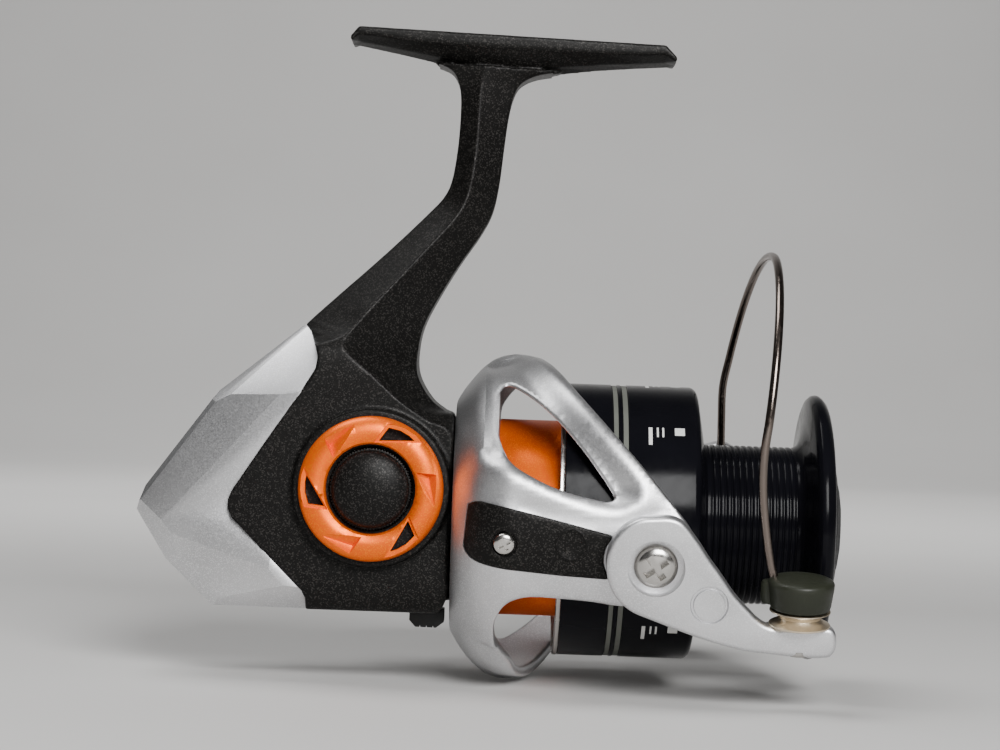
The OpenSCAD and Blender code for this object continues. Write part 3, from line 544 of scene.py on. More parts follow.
def build_body():
    """Foot, stem and gear case, hollow, with the bores that the inner pieces sit in."""
    body = body_loft()
    boolean(body, foot_solid(), "UNION")
    out = BODY_HALF + 3.4
    boss = [(0, -12), (19.2, -12), (17.4, -BODY_HALF - 1.4), (17.4, -out), (0, -out)]
    boolean(body, lathe("boss", boss, *AT_CRANK), "UNION")
    boolean(body, rod(19.7, -13, 6.3), "UNION")
    inner = BODY_HALF - 4.8
    for cutter in (prism("behind", SEAM + [(-100, -23), (-100, 60), (-60, 60)], -30, 30),
                   prism("cavity", CAVITY, -inner, inner),
                   prism("mouth", side_cover_outline(-1.8), 0, 30),
                   prism("rebate", side_cover_outline(0.15), BODY_HALF - 2.2, 30),
                   rod(14.05, -2, 20),
                   rod(9.6, -20, 20),
                   rod(19.6, 2.4, 9, *AT_CRANK),
                   rod(9.1, -40, 0, *AT_CRANK)):
        boolean(body, cutter)
    remesh(body, 0.4, 2)
    thin = body.modifiers.new("thin", "DECIMATE")
    thin.ratio = 0.3
    apply_modifiers(body)
    body.name = "main_body_cast"
    place(body, "housing", BLACK, "main_body", angle=180)


def facet(solid, points, side):
    """Cuts a solid by the plane through three near-side points (side -1) or their mirror image (side 1)."""
    a, b, c = (Vector((x, -side * y, z)) for x, y, z in points)
    normal = (b - a).cross(c - a).normalized()
    if normal.y * side < 0:
        normal = -normal
    cut = bisect(solid, a, normal, 1e-5, True)
    edges = [e for e in cut["geom_cut"] if isinstance(e, bmesh.types.BMEdge)]
    if edges:
        bmesh.ops.contextual_create(solid, geom=edges)


REAR_SPINE = [(-40, 46.9), (-45.4, 41.9), (-63.1, 26.9), (-79.2, 4.9), (-81, -0.5), (-73.9, -11.5),
              (-63.3, FLOOR), (-36, FLOOR)]

# Three near-side points on each of the cover's flat faces.
REAR_FACETS = [
    ((-50, -20, -12), (-45, -20, 24), (-78, -14.6, 0)),
    ((-62.2, -16.9, 24.6), (-45.9, -19.8, 26.9), (-45.4, -9.4, 41.8)),
    ((-77.6, -14, 3.1), (-46.9, -19.9, 24.9), (-62.2, -15.9, 25.2)),
    ((-71.6, -14.6, -11.3), (-50, -19.9, -12.9), (-61, -15.2, -20.4)),
    ((-62, -14.6, -20.2), (-43, -18.6, -17.6), (-46, -14.4, FLOOR)),
    ((-62.8, -15.8, 25.4), (-78.4, -14, 3.6), (-71.6, -12.4, 16)),
    ((-62.2, -16.6, 24.6), (-46.4, -10.6, 39.7), (-54.2, -9.4, 35.3)),
    ((-78.6, -13.6, -0.6), (-71.6, -14.4, -11.3), (-77.6, -12.4, -6)),
    ((-71.2, -14.4, -11.6), (-61.4, -14.8, -20.4), (-68.6, -12.6, -16.9))]


def build_rear_cover():
    """The faceted silver cap, alike on both sides."""
    cover = prism("rear_cover_skin", REAR_SPINE, -BODY_HALF, BODY_HALF)
    with editing(cover) as bm:
        for points in REAR_FACETS:
            facet(bm, points, -1)
            facet(bm, points, 1)
        bmesh.ops.recalc_face_normals(bm, faces=bm.faces)
    front = [(x + 0.22, z) for x, z in SEAM]
    boolean(cover, prism("ahead", front + [(0, -23), (0, 60), (-60, 60)], -30, 30))
    boolean(cover, prism("hollow", CAVITY, -10.5, 10.5))
    boolean(cover, rod(2.8, -90, -79.6))
    soften(cover, 0.35, 2, 4)
    place(cover, "housing", SILVER, "rear_cover", angle=28)


def on_ring(points, angle):
    """Points round the trim ring's middle, turned by an angle in degrees."""
    c, s = math.cos(math.radians(angle)), math.sin(math.radians(angle))
    return [(CRANK.x + (x * c - z * s), CRANK.z + (x * s + z * c)) for x, z in points]


def build_ring():
    """The orange ring with its three windows, recesses and folded notches."""
    top = -BODY_HALF - 7
    profile = [(9.95, top + 3.55), (9.95, top + 1.1), (10.3, top + 0.6), (11.4, top + 0.1), (12.6, top),
               (14, top + 0.25), (15.2, top + 0.9), (15.9, top + 1.7), (16.1, top + 2.5), (16.1, top + 3.55)]
    ring = lathe("trim_ring_cast", profile, *AT_CRANK, 160, True)
    window = [(3.6, 13.7), (1.5, 10.75), (9.4, 10.95), (8.2, 12.0), (6.2, 13.1)]
    recess = [(3.4, 14.7), (0.5, 10.5), (0.9, 10.35), (11.2, 10.6), (9.6, 12.2), (7.2, 13.7), (5.2, 14.4)]
    fold = [(-2.9, 15.2), (-10.8, 11.2), (-8.3, 6.3), (-9.2, 9.4)]
    for angle in (0, 120, 240):
        boolean(ring, prism("window", on_ring(window, angle), top - 2, top + 6))
        boolean(ring, prism("recess", on_ring(recess, angle), top - 2, top + 1.3))
        *corners, bottom = on_ring(fold, angle)
        bm = bmesh.new()
        high = [bm.verts.new((x, top - 2, z)) for x, z in corners]
        low = [bm.verts.new((x, top + 0.25, z)) for x, z in corners]
        deep = bm.verts.new((bottom[0], top + 1.9, bottom[1]))
        bm.faces.new(high)
        for i in range(3):
            bm.faces.new([high[i], high[(i + 1) % 3], low[(i + 1) % 3], low[i]])
            bm.faces.new([low[i], low[(i + 1) % 3], deep])
        boolean(ring, mesh_object("fold", bm))
    soften(ring, 0.14, 2, 28)
    place(ring, "housing", ORANGE, "trim_ring", angle=30)


def build_cap():
    """The domed cap in the unused handle hole, on a finely toothed collar."""
    top = -BODY_HALF - 8.6
    dome = [(8.6 * math.sin(math.radians(a)), top + 3.1 * (1 - math.cos(math.radians(a * 0.98))))
            for a in range(0, 91, 6)]
    cap = lathe("cap_dome", dome + [(8.6, top + 8), (0, top + 8)], *AT_CRANK)
    teeth = 84
    outline = []
    for k in range(teeth):
        for step, r in ((0, 8.75), (0.5, 9.15)):
            a = 2 * math.pi * (k + step) / teeth
            outline.append((CRANK.x + r * math.cos(a), CRANK.z + r * math.sin(a)))
    cap = join("cap_dome", cap, prism("collar", outline, top + 3.3, top + 8))
    soften(cap, 0.1, 2, 50)
    place(cap, "housing", BLACK, "handle_hole_cap", angle=40)


COVER_SCREWS = [(-14.6, -13.8), (-38.4, -16), (-51.6, 3.4), (-29.5, 33.4)]


def build_side_cover():
    """The far side's plate with its raised panel and the collar round the crank."""
    plate = prism("side_cover_plate", side_cover_outline(0), BODY_HALF - 2.15, BODY_HALF)
    soften(plate, 0.5, 3, 25)
    panel = prism("panel", side_cover_outline(-2.6), BODY_HALF - 0.6, BODY_HALF + 0.7)
    for x, z in COVER_SCREWS:
        boolean(panel, rod(3.9, 0, 40, "Y", (x, 0, z), 48))
    soften(panel, 0.4, 3, 30)
    boolean(plate, panel, "UNION")
    top = BODY_HALF + 4.4
    collar = [(0, top - 11), (12, top - 11), (12, top - 5), (16, top - 4.4), (14.6, top - 3.2),
              (13.2, top - 2), (12.3, top - 0.9), (11.7, top), (0, top)]
    boolean(plate, lathe("collar", collar, *AT_CRANK), "UNION")
    boolean(plate, rod(9.55, 5, 30, *AT_CRANK))
    for x, z in COVER_SCREWS:
        boolean(plate, rod(1.55, 10, 30, "Y", (x, 0, z), 32))
    place(plate, "housing", BLACK, "side_cover", angle=30)
    heads = []
    for x, z in COVER_SCREWS:
        heads.append(screw("head", 2.6, 1.3, (x, BODY_HALF + 0.05, z), (0, 1, 0), x))
        heads.append(rod(1.5, BODY_HALF - 3.5, BODY_HALF, "Y", (x, 0, z), 32))
    place(join("side_cover_screw_heads", *heads), "housing", CHROME, "side_cover_screws")
    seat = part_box("rear_cover_screw")[0].x / MM + 1.3
    head = screw("rear_screw_head", 2.6, 1.3, (seat, 0, 0), (-1, 0, 0), 0.5)
    shank = rod(1.5, seat - 0.1, seat + 4.5, n=32)
    place(join("rear_cover_screw_head", head, shank), "housing", CHROME, "rear_cover_screw")


def build_anti_reverse_lever():
    """The small lever under the gear case, ribbed for a finger."""
    low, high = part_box("anti_reverse_lever")
    x0, x1, z0 = low.x / MM, high.x / MM, low.z / MM - AXIS_Z
    tip = prism("anti_reverse_tip", [(x0, FLOOR - 0.3), (x0, z0 + 1.6), (x0 + 1.4, z0 + 0.1), (x1 - 1.8, z0),
                                     (x1, z0 + 1.4), (x1, FLOOR - 0.3)], -2.8, 2.8)
    for k in range(3):
        at = (x0 + x1) / 2 + 1.5 * (k - 1)
        boolean(tip, prism("rib", [(at - 0.4, z0 - 1), (at + 0.4, z0 - 1), (at, z0 + 0.55)], -4, 4))
    soften(tip, 0.35, 3, 30)
    pin = rod(2, FLOOR - 0.8, FLOOR + 6.2, "Z", (joint_mm("anti_reverse_swing").x, 0, 0), 40)
    place(join("anti_reverse_tip", tip, pin), "anti_reverse", MATT, "anti_reverse_lever")


# ---- Handle ----

# Middle line of the handle's arm seen from above, from its hub: (x from the crank, y), then half its
# thickness and half its height.
ARM_LINE = [(-5.4, 29.8, 2.4, 3.8), (0, 29.7, 3.2, 4.6), (5.4, 30.4, 3.3, 4.5), (9.4, 33.6, 2.9, 4.1),
            (12, 38.6, 2.5, 3.8), (15.6, 44.6, 2.3, 3.6), (21, 48, 2.2, 3.5), (32, 49.4, 2.1, 3.5),
            (46, 50.5, 2.1, 3.7), (57, 51.6, 2.1, 4.2), (63.5, 52.2, 2.1, 4.2), (66.4, 52.4, 1.8, 2.6)]


def handle_arm():
    """The arm's loft, a rounded rectangle in section."""
    sections = []
    line = smooth_line(ARM_LINE, 5)
    for i, (x, y, thick, high) in enumerate(line):
        a, b = line[max(i - 1, 0)], line[min(i + 1, len(line) - 1)]
        along = Vector((b[0] - a[0], b[1] - a[1], 0)).normalized()
        out = Vector((-along.y, along.x, 0))
        section = []
        for k in range(28):
            t = 2 * math.pi * k / 28
            c, d = (math.copysign(abs(v) ** 0.55, v) for v in (math.cos(t), math.sin(t)))
            section.append(Vector((CRANK.x + x, y, CRANK.z)) + out * thick * c + Vector((0, 0, high * d)))
        sections.append(section)
    return loft("handle_arm_forged", sections)


def build_handle():
    """Arm, screw, knob and cap on the far side."""
    arm = handle_arm()
    hub = [(0, 25.4), (6.6, 25.4), (7.4, 26), (7.4, 33.2), (6.8, 34), (0, 34)]
    boolean(arm, lathe("hub", hub, *AT_CRANK), "UNION")
    eye = [(0, 49.9), (4.9, 49.9), (5.3, 50.4), (5.3, 54), (4.9, 54.5), (0, 54.5)]
    boolean(arm, lathe("eye", eye, *AT_KNOB), "UNION")
    bore = [(0, 20), (4, 20), (4, 33.05), (2, 33.05), (2, 40), (0, 40)]
    boolean(arm, lathe("bore", bore, *AT_CRANK))
    boolean(arm, rod(2, 40, 60, *AT_KNOB, 48))
    place(arm, "crank", SILVER, "handle_arm", angle=34)
    head = screw("handle_screw_head", 4.2, 1.8, (CRANK.x, 34.02, CRANK.z), (0, 1, 0), 0.3)
    shank = rod(1.95, 33.1, 34.1, *AT_CRANK, 40)
    place(join("handle_screw_head", head, shank), "crank", CHROME, "handle_screw")
    pin = [(0, 49), (1.7, 49), (1.98, 49.3), (1.98, 54.6), (3.8, 54.6), (4, 54.8), (4, 55.8), (3.8, 56),
           (1.98, 56), (1.98, 80), (0, 80)]
    place(lathe("knob_pin", pin, *AT_KNOB, 48), "crank", CHROME, "knob_shaft")
    grip = smooth_line([(6, 56.3), (7.3, 57.2), (7.1, 61), (8.2, 66), (10.4, 71.5), (11.4, 77), (11, 82),
                        (9.4, 85.4), (8, 86)], 4)
    grip = [(2.06, 56.3)] + [tuple(p) for p in grip] + [(5, 86), (5, 81), (2.06, 81)]
    knob = lathe("knob_grip", grip, *AT_KNOB, 120, True)
    flutes = []
    for k in range(12):
        a = math.pi * k / 6
        flutes.append(lathe("flute", [(0, 67), (1.5, 69), (1.5, 82), (0, 84)], "Y",
                            (KNOB.x + 12.3 * math.cos(a), 0, KNOB.z + 12.3 * math.sin(a)), 24))
    boolean(knob, join("flutes", *flutes))
    soften(knob, 0.25, 2, 40)
    place(knob, "knob", RUBBER, "handle_knob", angle=34)
    cap = [(0, 84.2), (4.95, 84.2), (4.95, 86.4), (4.7, 86.8), (3.4, 87.3), (1.8, 87.6), (0, 87.7)]
    place(lathe("knob_end_cap", cap, *AT_KNOB, 80), "knob", CHROME, "knob_cap", angle=30)


# ---- Rotor ----

ROTOR_R = 37.5
DEGREE = ROTOR_R * math.pi / 180

# Outlines on the rotor as (x, degrees round the axis), the near arm's middle at zero.
ARM_EDGE = [(0.6, -28.1), (1.1, -23.5), (2.4, -18.8), (4.5, -16), (8.3, -14.3), (14.9, -14.6), (22, -15.4),
            (28, -16.6), (34.9, -15.6), (40, -12.8), (43.4, -7.2), (44.4, 0), (43.9, 6), (42.2, 12.1),
            (37.7, 21.1), (31.1, 33.7), (22.3, 51.4), (15.6, 69), (9, 97), (5.8, 118), (4.4, 130),
            (2.4, 137.5), (0.9, 144)]
WINDOW = [(-0.5, 56.5), (-0.3, 62.7), (0.5, 68.7), (2.2, 70.9), (5.6, 66.1), (11.2, 55.5), (17.9, 40.9),
          (22.4, 30.3), (25.1, 23.7), (25.7, 21), (24.5, 20), (22.6, 20.2), (13.9, 23.4), (7.3, 28.1),
          (3.3, 32.7), (1, 39.8), (-0.1, 47.6)]
CREST = [(-2, 100), (5, 97), (8.6, 84), (13, 68.5), (18.8, 52.5), (25.5, 38.5), (30.5, 28.5), (32.2, 22.4),
         (30.4, 18.4), (24.6, 15.4), (13.9, 19.8), (4, 27), (-3, 32)]
COVER = [(-6, 18), (-4.6, 18.8), (-3, 18.6), (0.8, 17.1), (14, 12.4), (24.6, 8.6), (25.4, 8), (25.2, 7),
         (24.2, 4.6), (23.8, 1.6), (23.8, -0.9), (24.3, -3.6), (25, -5.4), (24.8, -6.2), (24, -6.3),
         (14.7, -5.6), (-3.2, -3.3), (-5, -2.6), (-6, -1.2), (-6.7, 1.3)]


def closed_curve(points, per):
    """A smooth closed outline through points."""
    count = len(points)
    wrapped = smooth_line([points[-1]] + points + points[:2], per)
    return [tuple(p) for p in wrapped[per:per * (count + 1)]]


def rear_radius(x):
    """The band's outer radius against x."""
    curve = [(-9.6, 26.4), (-7.8, 29.3), (-6, 31.7), (-4.2, 33.9), (-2.4, 35.5), (-1, 36.3), (0.4, 36.9),
             (1.8, 37.3), (3, 37.5), (60, 37.5)]
    for (x0, r0), (x1, r1) in zip(curve, curve[1:]):
        if x <= x1:
            return r0 + (r1 - r0) * (x - x0) / (x1 - x0)
    return curve[-1][1]


def distance_to_line(p, line):
    """Distance from a point to a polyline in the plane."""
    best = 1e9
    for a, b in zip(line, line[1:]):
        ab = (b[0] - a[0], b[1] - a[1])
        t = ((p[0] - a[0]) * ab[0] + (p[1] - a[1]) * ab[1]) / (ab[0] ** 2 + ab[1] ** 2)
        t = min(1, max(0, t))
        best = min(best, math.hypot(p[0] - a[0] - t * ab[0], p[1] - a[1] - t * ab[1]))
    return best


def flat_xs(points):
    """(x, degrees round) as (x, mm round)."""
    return [(x, a * DEGREE) for x, a in points]


CREST_LINE = [tuple(p) for p in smooth_line(flat_xs(CREST), 3)]


def slice_up(obj, axis, low, high, step):
    """Cuts a mesh into slices so that it can bend."""
    normal = Vector([(1, 0, 0), (0, 1, 0)][axis])
    with editing(obj) as bm:
        at = low
        while at < high:
            bisect(bm, normal * at, normal)
            at += step


def inside(p, outline):
    """Whether a point is inside an outline."""
    hit = False
    for (x0, y0), (x1, y1) in zip(outline, outline[1:] + outline[:1]):
        if (y0 > p[1]) != (y1 > p[1]) and p[0] < (x1 - x0) * (p[1] - y0) / (y1 - y0) + x0:
            hit = not hit
    return hit


def bend(obj, height=None):
    """Wraps a flat piece of (x, mm round, height) round the spool axis, near side at zero."""
    for v in obj.data.vertices:
        x, s, h = v.co
        if height:
            h += height(x, s, h)
        share = max(0.0, min(1.0, (3 - x) / 12.6))
        r = rear_radius(x) + h * (1 - 0.15 * share)
        a = s / ROTOR_R
        v.co = (x, -r * math.cos(a), r * math.sin(a))


# The arm's face falls away from its crest line by a slope, down to a limit: towards the window and
# towards the outer edge. It starts at CREST_X and at CREST_ANGLE degrees, and fades in from there.
WINDOW_SLOPE, WINDOW_DROP = 0.55, 2.2
EDGE_SLOPE, EDGE_DROP = 0.22, 1.0
CREST_X, CREST_ANGLE, CREST_DEPTH = -5, 10, -2.2


def crest_height(x, s, h):
    """How far the arm's face stands below its crest line."""
    if h < CREST_DEPTH or x < CREST_X:
        return 0.0
    s = (s + 40 * DEGREE) % (180 * DEGREE) - 40 * DEGREE
    if s < CREST_ANGLE * DEGREE:
        return 0.0
    away = max(0.0, distance_to_line((x, s), CREST_LINE) - 0.3)
    fade = min(1.0, (x - CREST_X) / 4) * min(1.0, (s / DEGREE - CREST_ANGLE) / 6)
    if inside((x, s), CREST_LINE):
        return -min(WINDOW_DROP, WINDOW_SLOPE * away) * fade
    return -min(EDGE_DROP, EDGE_SLOPE * away) * fade


def on_both_arms(make):
    """The piece that a function makes, once for the near arm and once turned half way round."""
    near, far = make(), make()
    far.data.transform(HALF_TURN)
    return [near, far]


def rotor_plate():
    """The band and both arms: laid out flat, cut and sliced, then bent round the axis."""
    edge = []
    for k in (-1, 0, 1, 2):
        edge += [(x, a + 180 * k) for x, a in ARM_EDGE]
    edge = [tuple(p) for p in smooth_line(flat_xs(edge), 3)]
    low, high = edge[0][1], edge[-1][1]
    plate = prism("rotor_plate", [(-9.6, low)] + edge + [(-9.6, high)], -3.3, 0, axis="Z")
    window = closed_curve(flat_xs(WINDOW), 4)
    shifts = [180 * DEGREE * k for k in (-1, 0, 1)]
    for shift in shifts:
        boolean(plate, prism("window", [(x, s + shift) for x, s in window], -6, 3, axis="Z"))
    soften(plate, 0.8, 2, 40)
    for shift in shifts:
        rim = [(x + (0.18 if x > 8 else -0.18), (s + (0.15 if s > 4 * DEGREE else -0.15)) + shift)
               for x, s in flat_xs(COVER)]
        boolean(plate, prism("seat", rim, -0.85, 3, axis="Z"))
    start = -112 * DEGREE
    end = start + 360 * DEGREE
    slice_up(plate, 1, start, end, 2 * DEGREE)
    slice_up(plate, 0, -9, 45, 1.2)
    with editing(plate) as bm:
        for at, away in ((start, -1), (end, 1)):
            bisect(bm, (0, at, 0), (0, away, 0), clear=True)
        bmesh.ops.triangulate(bm, faces=[f for f in bm.faces if len(f.verts) > 4])
    bend(plate, crest_height)
    with editing(plate) as bm:
        bmesh.ops.remove_doubles(bm, verts=bm.verts, dist=0.003)
    return plate


def build_rotor():
    """The plate, its drum and web, and a boss at each pivot."""
    plate = rotor_plate()
    drum = lathe("rotor_drum", [(20.9, -2.4), (24.4, -2.4), (25.5, -6.8), (24.8, -9.4), (26, -9.5),
                                (31.6, -3.4), (34.2, -1), (34.2, 0.1), (21.6, 0.4), (21.6, 10.4),
                                (20.9, 10.4)], closed=True, n=144)
    web = lathe("rotor_web", [(4.05, 6.9), (7, 6.9), (7, 7.6), (21.2, 7.6), (21.2, 10.4), (4.05, 10.4)],
                closed=True)
    boss = [(2.1, -38.7), (9, -38.7), (9.7, -38), (9.9, -34.4), (2.1, -34.4)]
    bosses = on_both_arms(lambda: lathe("boss", boss, *AT_PIVOT, closed=True))
    rotor = join("rotor_casting", plate, drum, web, *bosses)
    place(rotor, "rotor_head", SILVER, "rotor", space=ROTOR, angle=46)


def disc(x, y, r):
    """A circle of points."""
    return arc(x, y, r, 0, 354, 59)


def arm_cover():
    """A black cover with a screw seat and an embossed ring, bent to its arm."""
    plate = prism("cover", flat_xs(COVER), -0.8, 0.42, axis="Z")
    boolean(plate, prism("screw_seat", disc(2.2, 2.9, 2.75), -0.25, 2, axis="Z"))
    soften(plate, 0.3, 3, 25)
    ring = prism("mark", disc(16.7, 3.3, 3.6), 0.2, 0.6, axis="Z")
    boolean(ring, prism("dish", disc(16.7, 3.3, 3.1), 0.46, 1, axis="Z"))
    soften(ring, 0.1, 2, 40)
    slice_up(plate, 1, -10, 14, 1.5)
    slice_up(plate, 0, -6, 25, 2)
    plate = join("cover", plate, ring)
    bend(plate)
    return plate


def pivot_screw():
    """The near pivot screw with its shank."""
    head = screw("pivot_screw", 4.8, 2.6, (PIVOT_X, -40.2, 0), (0, -1, 0), 0.62)
    return join("pivot_screw", head, rod(1.98, -40.4, -34.6, *AT_PIVOT, 32))


def build_arm_covers():
    """The covers on the arms, their screws, and the screws that the bail swings on."""
    covers = on_both_arms(arm_cover)
    place(join("arm_cover_skins", *covers), "rotor_head", BLACK, "arm_covers", space=ROTOR, angle=34)
    screws = on_both_arms(lambda: screw("cover_screw", 2.35, 1.1, (2.2, -37.1, 2.9), (0, -1, 0.04), 0.5))
    place(join("arm_cover_screw_heads", *screws), "rotor_head", CHROME, "arm_cover_screws", space=ROTOR)
    screws = on_both_arms(pivot_screw)
    place(join("pivot_screw_heads", *screws), "rotor_head", CHROME, "pivot_screws", space=ROTOR)


def build_drum():
    """The orange drum behind the spool."""
    drum = lathe("drum_skin", [(21.65, 0.45), (22.3, 0.45), (22.5, 0.8), (22.5, 37), (22.3, 37.7), (22, 38),
                               (20.9, 38), (20.9, 10.5), (21.65, 10.5)], closed=True, n=144)
    place(drum, "rotor_head", ORANGE, "drum_ring", angle=50)


# ---- Bail ----

LEVER = [(34.5, 11.2), (37.2, 11.3), (39.6, 10.6), (41.4, 9), (44, 5.7), (46.4, 2.2), (48.6, -0.6),
         (52.1, -5.4), (55.5, -8.9), (57.4, -10.7), (59.6, -11.9), (62.5, -12.2), (70.8, -11.9),
         (72.6, -11.9), (73.8, -12.6), (74.3, -14), (74.3, -16.2), (73.6, -17.8), (72, -18.6),
         (66.8, -18.7), (58.2, -18), (53.8, -17.5), (45.1, -15.3), (34.2, -11.5), (29.6, -9.6),
         (26.4, -6.6), (24.6, -2.7), (24.1, 1.7), (25.4, 6), (27.8, 9), (31, 10.8)]


# The raised seat under the roller, in the same plane as the lever.
LEVER_SEAT = [(57.6, -16.9), (58.6, -13.8), (61, -12.3), (70.8, -12.05), (72.4, -12.1), (73.6, -12.8),
              (74.1, -14.2), (74.1, -16.1), (73.4, -17.6), (71.9, -18.4), (66.8, -18.5), (59.4, -18)]
BAIL_OUT, BAIL_IN = 43.2, 38.95
PIVOT_BORE = 2.07


def build_bail_arm():
    """The lever with its roller seat, pivot recess, embossed ring and bores."""
    arm = prism("lever", closed_curve(LEVER, 4), -BAIL_OUT, -BAIL_IN)
    soften(arm, 1.05, 4, 35)
    seat = prism("seat", closed_curve(LEVER_SEAT, 4), -42, -36.4)
    soften(seat, 0.9, 4, 35)
    boolean(arm, seat, "UNION")
    recess = [(0, -50), (6.4, -50), (6.1, 3 - BAIL_OUT), (0, 3 - BAIL_OUT)]
    boolean(arm, lathe("recess", recess, *AT_PIVOT))
    boolean(arm, rod(PIVOT_BORE, -50, -30, *AT_PIVOT, 48))
    mark = [(3, -1 - BAIL_OUT), (4.6, -1 - BAIL_OUT), (3.9, 0.6 - BAIL_OUT), (3.5, 0.6 - BAIL_OUT)]
    boolean(arm, lathe("mark", mark, "Y", (46.6, 0, -7.6), closed=True))
    boolean(arm, rod(1.75, -25, -11, *AT_ROLLER, 48))
    boolean(arm, rod(2.9, -25, -17.4, *AT_ROLLER, 48))
    soften(arm, 0.16, 2, 50)
    place(arm, "bail", SILVER, "bail_arm", space=ROTOR, angle=32)


WIRE = [(61.2, -38.5, -4.6), (60.6, -38.6, -2), (59.6, -38.5, 1.5), (58.4, -38.3, 8), (57.3, -38.1, 17)]
WIRE += [(57.2 + 4 * math.sin(t) - (2.8 * (math.degrees(t) - 90) / 90 if t > math.pi / 2 else 0),
          -38 * math.cos(t), 25 + 37.2 * math.sin(t)) for t in [math.pi * k / 16 for k in range(17)]]
WIRE += [(54.5, 38.2, 17), (54.7, 38.4, 11), (54.8, 38.6, 8)]


def build_wire():
    """The bail's bent wire."""
    wire = sweep("bail_wire_bent", smooth_line(WIRE, 6), 0.95, 24)
    place(wire, "bail", WIRE_STEEL, "bail_wire", space=ROTOR, angle=60)


def build_roller():
    """The line roller, the wire's holder below it and the screw through both."""
    profile = [(2.46, -12.1), (6.4, -12.1), (6.6, -11.95), (6.6, -11.65), (6.1, -11.4), (5.3, -11),
               (4.8, -10.6), (4.6, -10.25), (4.8, -9.8), (5.3, -9.4), (6.2, -9.05), (6.6, -8.85),
               (6.55, -8.62), (2.46, -8.62)]
    roller = lathe("line_roller_turned", profile, *AT_ROLLER, closed=True)
    place(roller, "roller", ROLLER_METAL, "line_roller", space=ROTOR, angle=40)
    profile = [(0, -8.4), (5.9, -8.4), (6.4, -8.1), (6.6, -7.4), (7.1, -3.4), (7.15, -2.6), (6.9, -2.1),
               (6.3, -1.8), (4.6, -1.5), (2.2, -1.35), (0, -1.3)]
    holder = lathe("holder", profile, *AT_ROLLER, 64)
    nose = lathe("nose", [(0, -7.6), (2.2, -7.6), (2.5, -7), (2.5, -3.4), (2.2, -2.9), (0, -2.8)], "Z",
                 (ROLLER.x - 6, ROLLER.y + 1.9, 0), 48)
    boolean(holder, nose, "UNION")
    boolean(holder, rod(1.76, -20, -4, *AT_ROLLER, 32))
    soften(holder, 0.25, 3, 40)
    place(holder, "bail", OLIVE, "wire_holder", space=ROTOR, angle=40)
    head = screw("roller_screw_head", 2.75, 1.5, (ROLLER.x, ROLLER.y, -17.5), (0, 0, -1), 0.4)
    shank = rod(1.7, -17.6, -4.3, *AT_ROLLER, 32)
    place(join("roller_screw_head", head, shank), "bail", CHROME, "roller_screw", space=ROTOR)


def build_bail_mount():
    """The small arm at the wire's far end."""
    outline = arc(PIVOT_X, 0, 9.6, 100, 280, 24) + [(42, -5.6), (48, -0.8)]
    outline += arc(54.8, 6.4, 4.4, -60, 110, 12) + [(48, 9.2), (42, 9.4)]
    mount = prism("mount", outline, BAIL_IN, BAIL_OUT)
    soften(mount, 0.9, 4, 30)
    boolean(mount, rod(5.75, 41.15, 50, *AT_PIVOT))
    boolean(mount, rod(PIVOT_BORE, 30, 50, *AT_PIVOT, 48))
    boolean(mount, rod(1.5, 7.6, 14, "Z", (54.8, 38.6, 0), 32))
    place(mount, "bail", SILVER, "bail_mount", space=ROTOR, angle=32)


# ---- Spool and drag ----

def scale_mark(x0, x1, start, end):
    """A thin block on the skirt between two angles in degrees."""
    steps = 6
    sections = []
    for i in range(steps + 1):
        a = math.radians(start + (end - start) * i / steps)
        sections.append([(x, r * math.cos(a), r * math.sin(a))
                         for x, r in ((x0, 31.1), (x0, 31.23), (x1, 31.23), (x1, 31.1))])
    return loft("mark", sections)


def build_spool():
    """The spool with its grooved line well, two bands, a bright ring and the scale marks."""
    profile = [(29.6, 15.1), (31, 15.1), (31.2, 15.3), (31.2, 25.5), (30.9, 25.7), (30.9, 26.8), (31.2, 27),
               (31.2, 27.6), (30.9, 27.8), (30.9, 29), (31.2, 29.2), (31.2, 43.7), (31, 44.3), (30.5, 44.9),
               (29.8, 45.2), (19.8, 47), (18.7, 47.2), (18.2, 47.6)]
    for i in range(14):
        at = 47.7 + i * 1.45
        profile += [(18.2, at), (18.2, at + 0.55), (18.12, at + 0.75), (17.9, at + 0.95), (17.9, at + 1.1),
                    (18.12, at + 1.3)]
    profile += [(18.2, 68.1), (18.7, 68.9), (19.8, 69.5), (24, 70.4), (28.4, 70.8), (29.5, 71.2),
                (30.2, 71.9), (30.4, 72.7), (30.3, 73.3), (29.8, 74), (29, 74.7), (28.2, 75), (20.2, 75),
                (19.6, 74.7), (19.6, 73.4), (13.6, 73.4), (13.6, 60.9), (3.05, 60.9), (3.05, 49.2),
                (14.6, 49.2), (15.6, 46.4), (18, 44.6), (29.6, 41.6)]
    spool = lathe("spool_turned", profile, closed=True, n=160)
    place(spool, "spool_head", GLOSS, "spool", angle=30)
    bands = [lathe("band", [(30.75, low), (31.02, low), (31.02, high), (30.75, high)], closed=True, n=160)
             for low, high in ((25.75, 26.75), (27.85, 28.95))]
    place(join("spool_bands", *bands), "spool_head", BAND, angle=40)
    ring = lathe("skirt_ring_turned", [(29.7, 14), (31.1, 14), (31.3, 14.2), (31.3, 14.8), (31.1, 15.05),
                                       (29.7, 15.05)], closed=True, n=160)
    place(ring, "spool_head", CHROME, "skirt_ring", angle=40)
    marks = [scale_mark(x0, x1, 45 * k + a0, 45 * k + a1) for k in range(8)
             for x0, x1, a0, a1 in ((33.4, 34.2, 0, 9), (35.2, 35.6, 0, 5), (36.4, 36.8, 0, 5),
                                    (39.2, 41.4, 0, 4))]
    place(join("spool_scale_marks", *marks), "spool_head", PRINT, angle=40)


